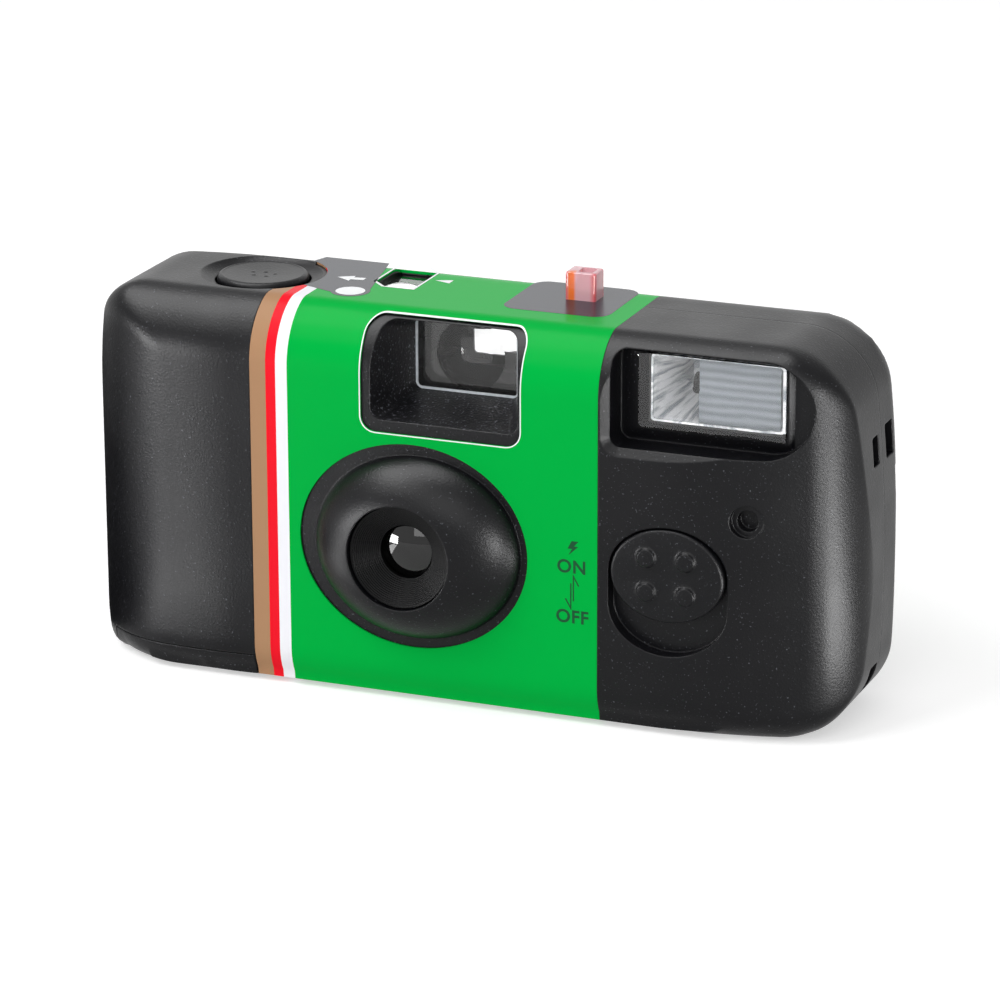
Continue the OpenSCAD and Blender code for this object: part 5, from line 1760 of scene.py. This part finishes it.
@dataclass
class FlashSwitch:
    """The sliding knob with its four studs, and the light guide that it lifts."""

    at: Pair = (30.4, 21.9)
    knob: Pair = (7.6, 6.2)
    front: float = -11.5
    back: float = -9.8
    studs: Pair = (2.65, 2.3)
    stud_r: float = 1.2
    stud_edge: float = 0.18
    stud_rise: float = -0.37
    stud_skirt: tuple[Pair, ...] = (
        (0.02, 0.3),
        (1.95, 0.3),
        (1.95, 0.02),
        (1.75, -0.1),
        (1.55, -0.13),
        (1.38, -0.18),
        (1.28, -0.26),
    )
    link_y: Pair = (-8.35, -7.65)
    link_z: Pair = (33.2, 35.6)
    riser_x: Pair = (-6.4, -3.4)
    post_w: float = 3.275
    guide: Four = (10.275, 14.425, 5.2, 8.6)
    guide_z: Pair = (38.0, 55.7)

    def slider(self) -> Solid:
        """The knob: an oval with a rounded edge, four round-edged studs, and the link behind it.

        Returns:
            The slider, on the switch's body.
        """
        x, z = self.at
        t = np.radians(np.linspace(0, 90, 7))
        edge = np.stack([1 - 0.06 * (1 - np.cos(t)), self.front + 0.35 - 0.45 * np.sin(t)], axis=1)
        face = self.front - 0.1
        profile = np.concatenate([[[0.02, self.back], [1.0, self.back]], edge, [[0.5, face], [0.02, face]]])
        made = spin("switch_knob", profile, (x, 0.0, z), "y", 112, squeeze=self.knob)
        r = self.stud_edge
        top = np.stack([self.stud_r - r + r * np.cos(t), self.stud_rise - r * np.sin(t)], axis=1)
        middle = [[0.02, self.stud_rise - r]]
        stud = np.concatenate([self.stud_skirt, top, middle]) + [0.0, self.front]
        corners = [(x + i * self.studs[0], 0.0, z + j * self.studs[1]) for i in (-1, 1) for j in (-1, 1)]
        x0, x1 = (x + d for d in self.riser_x)
        (y0, y1), (z0, z1) = self.link_y, self.link_z
        gx0, gx1, gy0 = self.guide[1] - self.post_w, self.guide[1], self.guide[2]
        carve(
            made,
            Cut.JOIN,
            *(spin("stud", stud, corner, "y", 40) for corner in corners),
            block("stem", (x - 1.5, -10.0, z - 1.3), (x + 1.5, -8.2, z + 1.3)),
            block("plate", (x0, y0, z - 4), (x + 5, y1, z + 4)),
            block("riser", (x0, y0, z), (x1, y1, z1)),
            block("link", (gx0, y0, z0), (x1, y1, z1)),
            block("beam", (gx0, y0, z0), (gx1, gy0, z1)),
            block("post", (gx0, gy0 - 1.5, z0), (gx1, gy0, 40.0)),
        )
        tidy(made)
        return place(made, BLACK_CASE, "case_black", Body.SWITCH, "flash_slider")

    def light_guide(self) -> Solid:
        """The guide: a rod of rounded section, softened at its upper end, with a hollow in its top.

        Returns:
            The guide, on the switch's body.
        """
        x0, x1, y0, y1 = self.guide
        z0, z1 = self.guide_z
        cuts = ((0.0, z0), (0.0, z1 - 0.3), (0.03, z1 - 0.12), (0.12, z1 - 0.03), (0.3, z1))
        rings = stacked("z", *((round_box(self.guide, 0.35, -cut, 5), z) for cut, z in cuts))
        made = loft("light_guide_rod", rings)
        well = round_box((x0 + 1.5, x1 - 0.6, y0 + 0.6, y1 - 0.6), 0.3, n=5)
        carve(made, Cut.TAKE_AWAY, prism("hollow", well, "z", z1 - 2.2, z1 + 1))
        tidy(made)
        return place(made, GUIDE_RED, "red_clear", Body.SWITCH, "ready_light_guide")


@dataclass
class FlashUnit:
    """The flash: a clear box over a bright trough, with a ribbed diffuser over its right part."""

    window: Four = (26.65, 44.35, 41.0, 49.8)
    box: Four = (24.95, 44.75, 39.95, 49.95)
    front: float = -7.7
    foot: float = -7.14
    mouth: float = -6.6
    split: float = 32.9
    depth: float = 8.5
    ribs: int = 8
    rib_rise: float = 0.12
    grid: tuple[int, int] = (60, 40)
    end_slope: float = 0.34
    trough: float = 0.8
    foil: float = 0.16
    sleeve_at: Triple = (31.7, -4.2, 45.7)
    sleeve_ring: tuple[Pair, ...] = (
        (0.7, 0.0),
        (1.15, 0.0),
        (1.25, 0.15),
        (1.25, 1.2),
        (1.15, 1.35),
        (0.7, 1.35),
    )

    def window_clear(self) -> Solid:
        """The clear box: a shallow cap with a rounded front edge, over the plinth.

        Returns:
            The window.
        """
        y = self.front
        inset = [(0.0, self.foot), (0.0, y + 0.2), (0.06, y + 0.06), (0.2, y)]
        rings = stacked("y", *((round_box(self.box, 0.4, -g, 5), at) for g, at in inset))
        return place(loft("flash_window_clear", rings), CLEAR, "clear", Body.CASE, "flash_window")

    def diffuser(self) -> Solid:
        """The ribbed plate: its face is a row of low ribs, |sin| of the height, carried along X.

        Returns:
            The diffuser.
        """
        _, x1, z0, z1 = self.window
        low, high = z0 + 0.1, z1 - 0.1
        z = np.linspace(low, high, self.ribs * 12 + 1)
        ribs = np.abs(np.sin(np.pi * self.ribs * (z - z0) / (z1 - z0)))
        face = np.stack([self.mouth + 0.3 - self.rib_rise * ribs, z], axis=1)
        back = self.mouth + 0.7
        outline = np.concatenate([face, [[back, high], [back, low]]])
        made = prism("flash_diffuser_ribbed", outline, "x", self.split, x1 - 0.75)
        return place(made, DIFFUSER, "clear", Body.CASE)

    def reflector(self) -> Solid:
        """The reflector: a trough of depth (1 - t^2)^0.8 over its height t, whose ends slope in likewise.

        Returns:
            The reflector, with a live wall thickness.
        """
        x0, x1, z0, z1 = self.window
        zc, h = (z0 + z1) / 2, (z1 - z0) / 2 - 0.05
        rows, columns = self.grid
        s, t = np.meshgrid(np.linspace(-1, 1, rows), np.linspace(-1, 1, columns), indexing="ij")
        end = np.clip((1 - np.abs(s)) / self.end_slope, 0, 1)
        depth = self.depth * (1 - t * t) ** self.trough * end**self.trough
        x = (x0 + x1) / 2 + s * ((x1 - x0) / 2 - 0.05)
        verts = np.stack([x, self.mouth + depth, zc + h * t], axis=-1)
        i, j = np.meshgrid(np.arange(rows - 1), np.arange(columns - 1), indexing="ij")
        a = i * columns + j
        faces = np.stack([a, a + 1, a + columns + 1, a + columns], -1).reshape(-1, 4)
        made = make("flash_reflector_foil", verts.reshape(-1, 3), faces.tolist(), 60.0)
        wall = made.modifiers.new("wall", "SOLIDIFY")
        wall.thickness = self.foil * MM
        wall.offset = 0
        return place(made, FOIL, "silver", Body.CASE, "flash_reflector")

    def rim(self) -> Solid:
        """The bright folded edge round the reflector's mouth: a thin frame.

        Returns:
            The frame.
        """
        y = self.mouth
        made = prism("flash_reflector_rim", round_box(self.window, 0.5, n=5), "y", y - 0.25, y + 0.1)
        hole = round_box(self.window, 0.4, -0.28, 5)
        carve(made, Cut.TAKE_AWAY, prism("rim_hole", hole, "y", y - 1, y + 1))
        tidy(made)
        return place(made, FOIL, "silver", Body.CASE)

    def sleeve(self) -> Solid:
        """The dark sleeve on the flash tube's end: a short thick-walled ring about X.

        Returns:
            The sleeve.
        """
        ring = np.array(self.sleeve_ring)
        made = spin("flash_tube_sleeve", ring, self.sleeve_at, "x", 40, closed=True)
        return place(made, BLACK_MATT, "inner_black", Body.CASE)

    def build(self) -> None:
        """Builds the window, diffuser, reflector, rim and sleeve."""
        self.sleeve()
        self.window_clear()
        self.diffuser()
        self.reflector()
        self.rim()


@dataclass
class NodeFinishes:
    """Finishes of the solids that are shown as they are packed."""

    finishes: dict[str, Finish] = field(
        default_factory=lambda: {
            "main_frame": BLACK_MATT,
            "lens_holder": BLACK_MATT,
            "supply_spool": BLACK_MATT,
            "cartridge_spool": BLACK_MATT,
            "sprocket_wheel": BLACK_MATT,
            "thumbwheel": BLACK_SMOOTH,
            "finder_objective": CLEAR,
            "finder_eyepiece": CLEAR,
            "counter_window": CLEAR,
            "counter_disc": WHITE_PART,
            "release_lever": WHITE_PART,
            "strike_lever": WHITE_PART,
            "shutter_blade": BLADE_BLACK,
            "blade_spring": STEEL,
            "lever_spring": STEEL,
            "flash_tube": CLEAR,
            "cartridge_shell": CAN_GREEN,
            "cartridge_caps": STEEL,
            "film_strip": FILM_BASE,
            "film_roll": FILM_BASE,
            "circuit_board": BOARD,
            "main_capacitor": DARK_SLEEVE,
            "transformer": COPPER,
            "trigger_coil": COPPER,
            "ready_lamp": LAMP_GLASS,
            "battery": CELL_CASE,
            "contact_positive": STEEL,
            "contact_negative": STEEL,
            "switch_contact": BRASS,
        }
    )

    def dress(self) -> None:
        """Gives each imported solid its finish."""
        for name, finish in self.finishes.items():
            NODES[name].data.materials.clear()
            NODES[name].data.materials.append(FINISHES.of(finish))


# The studio.


@dataclass(frozen=True)
class Lamp:
    """A soft light that faces the part: place and size in metres, and how bright its face is, 1 for white.

    A lamp for gloss shows only as a highlight: diffuse rays do not see it.
    """

    name: str
    at: Triple
    size: Pair
    glow: float
    gloss: bool = True


@dataclass(frozen=True)
class Card:
    """A bright card on the floor that shows only as a highlight: middle line, width (metres) and glow."""

    name: str
    start: Pair
    end: Pair
    width: float
    glow: float


@dataclass
class Studio:
    """Floor, light and the camera at the photograph's angle."""

    target: Triple = (7.8, -11.5, 29.5)
    distance: float = 601.0
    azimuth: float = 21.7
    elevation: float = 18.07
    roll: float = -0.17
    lens: float = 169.3
    ambient: float = 0.5
    floor_glow: float = 0.5
    floor_shade: Four = (0.7, 0.7, 0.7, 1.0)
    floor_half: float = 3.0
    aim: Triple = (0.0, 0.0, 0.026)
    lamps: tuple[Lamp, ...] = (
        Lamp("key_softbox", (-0.34, -0.42, 0.66), (0.42, 0.42), 5.2, gloss=False),
        Lamp("front_softbox", (0.25, -1.1, 0.75), (0.9, 0.9), 3.0, gloss=False),
        Lamp("over_softbox", (-0.28, -0.05, 0.8), (0.5, 0.8), 9.5),
        Lamp("back_softbox", (-0.2, 0.7, 0.3), (0.8, 0.4), 0.45),
        Lamp("left_strip", (-0.17, -0.16, 0.025), (0.09, 0.05), 32.0),
        Lamp("right_strip", (0.163, -0.119, 0.025), (0.045, 0.05), 48.0),
    )
    cards: tuple[Card, ...] = (
        Card("left_card", (-0.048, -0.025), (-0.117, -0.135), 0.025, 7.5),
        Card("right_card", (0.08, -0.005), (0.2, -0.075), 0.03, 30.0),
    )
    card_z: float = 0.0008
    cloth: Four = (-0.2, -0.056, -0.03, 0.2)
    cloth_z: float = 0.0006

    def camera(self) -> None:
        """Sets the camera at its distance from the target, turned by azimuth, elevation and roll."""
        a, e, r = (math.radians(v) for v in (self.azimuth, self.elevation, self.roll))
        back = Vector((math.sin(a) * math.cos(e), -math.cos(a) * math.cos(e), math.sin(e)))
        right = Vector((math.cos(a), math.sin(a), 0))
        up = back.cross(right)
        right, up = right * math.cos(r) + up * math.sin(r), up * math.cos(r) - right * math.sin(r)
        data = bpy.data.cameras.new("photo_camera")
        data.lens, data.sensor_width = self.lens, 36.0
        data.clip_start, data.clip_end = 0.01, 20.0
        made = link("photo_camera", data)
        turn = Matrix((right, up, back)).transposed().to_4x4()
        made.matrix_world = Matrix.Translation((Vector(self.target) + back * self.distance) * MM) @ turn
        bpy.context.scene.camera = made

    def area(self, name: str, size: Pair, glow: float) -> Solid:
        """An area light that the camera does not see, whose power is glow times pi times its area.

        Args:
            name: The light's name.
            size: Its width and height in metres.
            glow: How bright its face is, where 1 is white.

        Returns:
            The light, at the origin.
        """
        data = bpy.data.lights.new(name, "AREA")
        data.shape = "RECTANGLE"
        data.size, data.size_y = size
        data.energy = glow * math.pi * size[0] * size[1]
        made = link(name, data)
        made.visible_camera = False
        return made

    def hang(self, lamp: Lamp) -> None:
        """Hangs a lamp and turns it to the part's middle.

        Args:
            lamp: What it is and where it hangs.
        """
        made = self.area(lamp.name, lamp.size, lamp.glow)
        made.location = lamp.at
        made.rotation_euler = (Vector(self.aim) - Vector(lamp.at)).to_track_quat("-Z", "Y").to_euler()
        made.visible_diffuse = not lamp.gloss

    def lay(self, card: Card) -> None:
        """Lays a card on the floor, face up, along its middle line.

        Args:
            card: What it is and where it lies.
        """
        (ax, ay), (bx, by) = card.start, card.end
        made = self.area(card.name, (math.dist(card.start, card.end), card.width), card.glow)
        made.location = ((ax + bx) / 2, (ay + by) / 2, self.card_z)
        made.rotation_euler = (math.pi, 0, math.atan2(by - ay, bx - ax))
        made.visible_diffuse = made.visible_transmission = False

    def ground(self, name: str, box: Four, z: float) -> Solid:
        """A level rectangle, as a mesh of one face.

        Args:
            name: The object's name.
            box: Lowest and highest x, then lowest and highest y, in metres.
            z: Its height in metres.

        Returns:
            The rectangle.
        """
        x0, x1, y0, y1 = box
        mesh = bpy.data.meshes.new(name)
        mesh.from_pydata([(x0, y0, z), (x1, y0, z), (x1, y1, z), (x0, y1, z)], [], [[0, 1, 2, 3]])
        return link(name, mesh)

    def flag(self) -> None:
        """Lays a black cloth on the floor behind the left end, seen by gloss alone, to keep its edge dark."""
        made = self.ground("left_flag", self.cloth, self.cloth_z)
        made.data.materials.append(FINISHES.of(BLACK_CLOTH))
        made.visible_camera = made.visible_diffuse = made.visible_transmission = made.visible_shadow = False

    def seen(self, tree: bpy.types.NodeTree) -> bpy.types.NodeSocket:
        """One for rays of the camera, of gloss and of glass, and nought for the rest.

        Args:
            tree: The node tree that asks.

        Returns:
            The output to link.
        """
        path = add(tree, "ShaderNodeLightPath")
        ray = path.outputs["Is Camera Ray"]
        for kind in ("Is Glossy Ray", "Is Transmission Ray"):
            either = add(tree, "ShaderNodeMath", {0: ray, 1: path.outputs[kind]}, operation="MAXIMUM")
            ray = either.outputs["Value"]
        return ray

    def world(self) -> None:
        """White where the camera, gloss and glass look, and a plain grey light on everything else."""
        world = bpy.data.worlds.new("studio")
        bpy.context.scene.world = world
        world.use_nodes = True
        tree = world.node_tree
        tree.nodes.clear()
        span = {"Value": self.seen(tree), "To Min": self.ambient, "To Max": 1.0}
        strength = add(tree, "ShaderNodeMapRange", span).outputs["Result"]
        shade = add(tree, "ShaderNodeBackground", {"Color": WHITE, "Strength": strength})
        add(tree, "ShaderNodeOutputWorld", {"Surface": shade.outputs["Background"]})

    def floor(self) -> None:
        """A plain pale floor: matt, so that it keeps the shadow, and lifted to white by a weak glow."""
        s = self.floor_half
        made = self.ground("floor", (-s, s, -s, s), 0.0)
        white = bpy.data.materials.new("white_floor")
        white.use_nodes = True
        tree = white.node_tree
        tree.nodes.clear()
        strength = add(tree, "ShaderNodeMath", {0: self.seen(tree), 1: self.floor_glow}, operation="MULTIPLY")
        matt = add(tree, "ShaderNodeBsdfDiffuse", {"Color": self.floor_shade})
        glow = add(tree, "ShaderNodeEmission", {"Color": WHITE, "Strength": strength.outputs["Value"]})
        both = add(tree, "ShaderNodeAddShader", {0: matt.outputs["BSDF"], 1: glow.outputs["Emission"]})
        add(tree, "ShaderNodeOutputMaterial", {"Surface": both.outputs["Shader"]})
        made.data.materials.append(white)

    def build(self) -> None:
        """Sets the camera, lamps, world and floor, with plain colour output."""
        self.camera()
        for lamp in self.lamps:
            self.hang(lamp)
        for card in self.cards:
            self.lay(card)
        self.flag()
        self.world()
        self.floor()
        bpy.context.scene.view_settings.view_transform = "Standard"


def main() -> None:
    """Builds each sub-assembly in order."""
    logging.basicConfig(level=logging.INFO, format="%(message)s")
    form = CaseForm()
    holes = Openings(form)
    dome = LensDome()
    covers = Covers(form, holes, dome)
    NodeFinishes().dress()
    covers.front()
    covers.rear()
    covers.flap()
    covers.label()
    covers.objective_edge()
    dome.barrel()
    dome.lens()
    Prints(form, holes).build()
    ShutterButton().build()
    switch = FlashSwitch()
    switch.slider()
    switch.light_guide()
    FlashUnit().build()
    Studio().build()


if __name__ == "__main__":
    main()
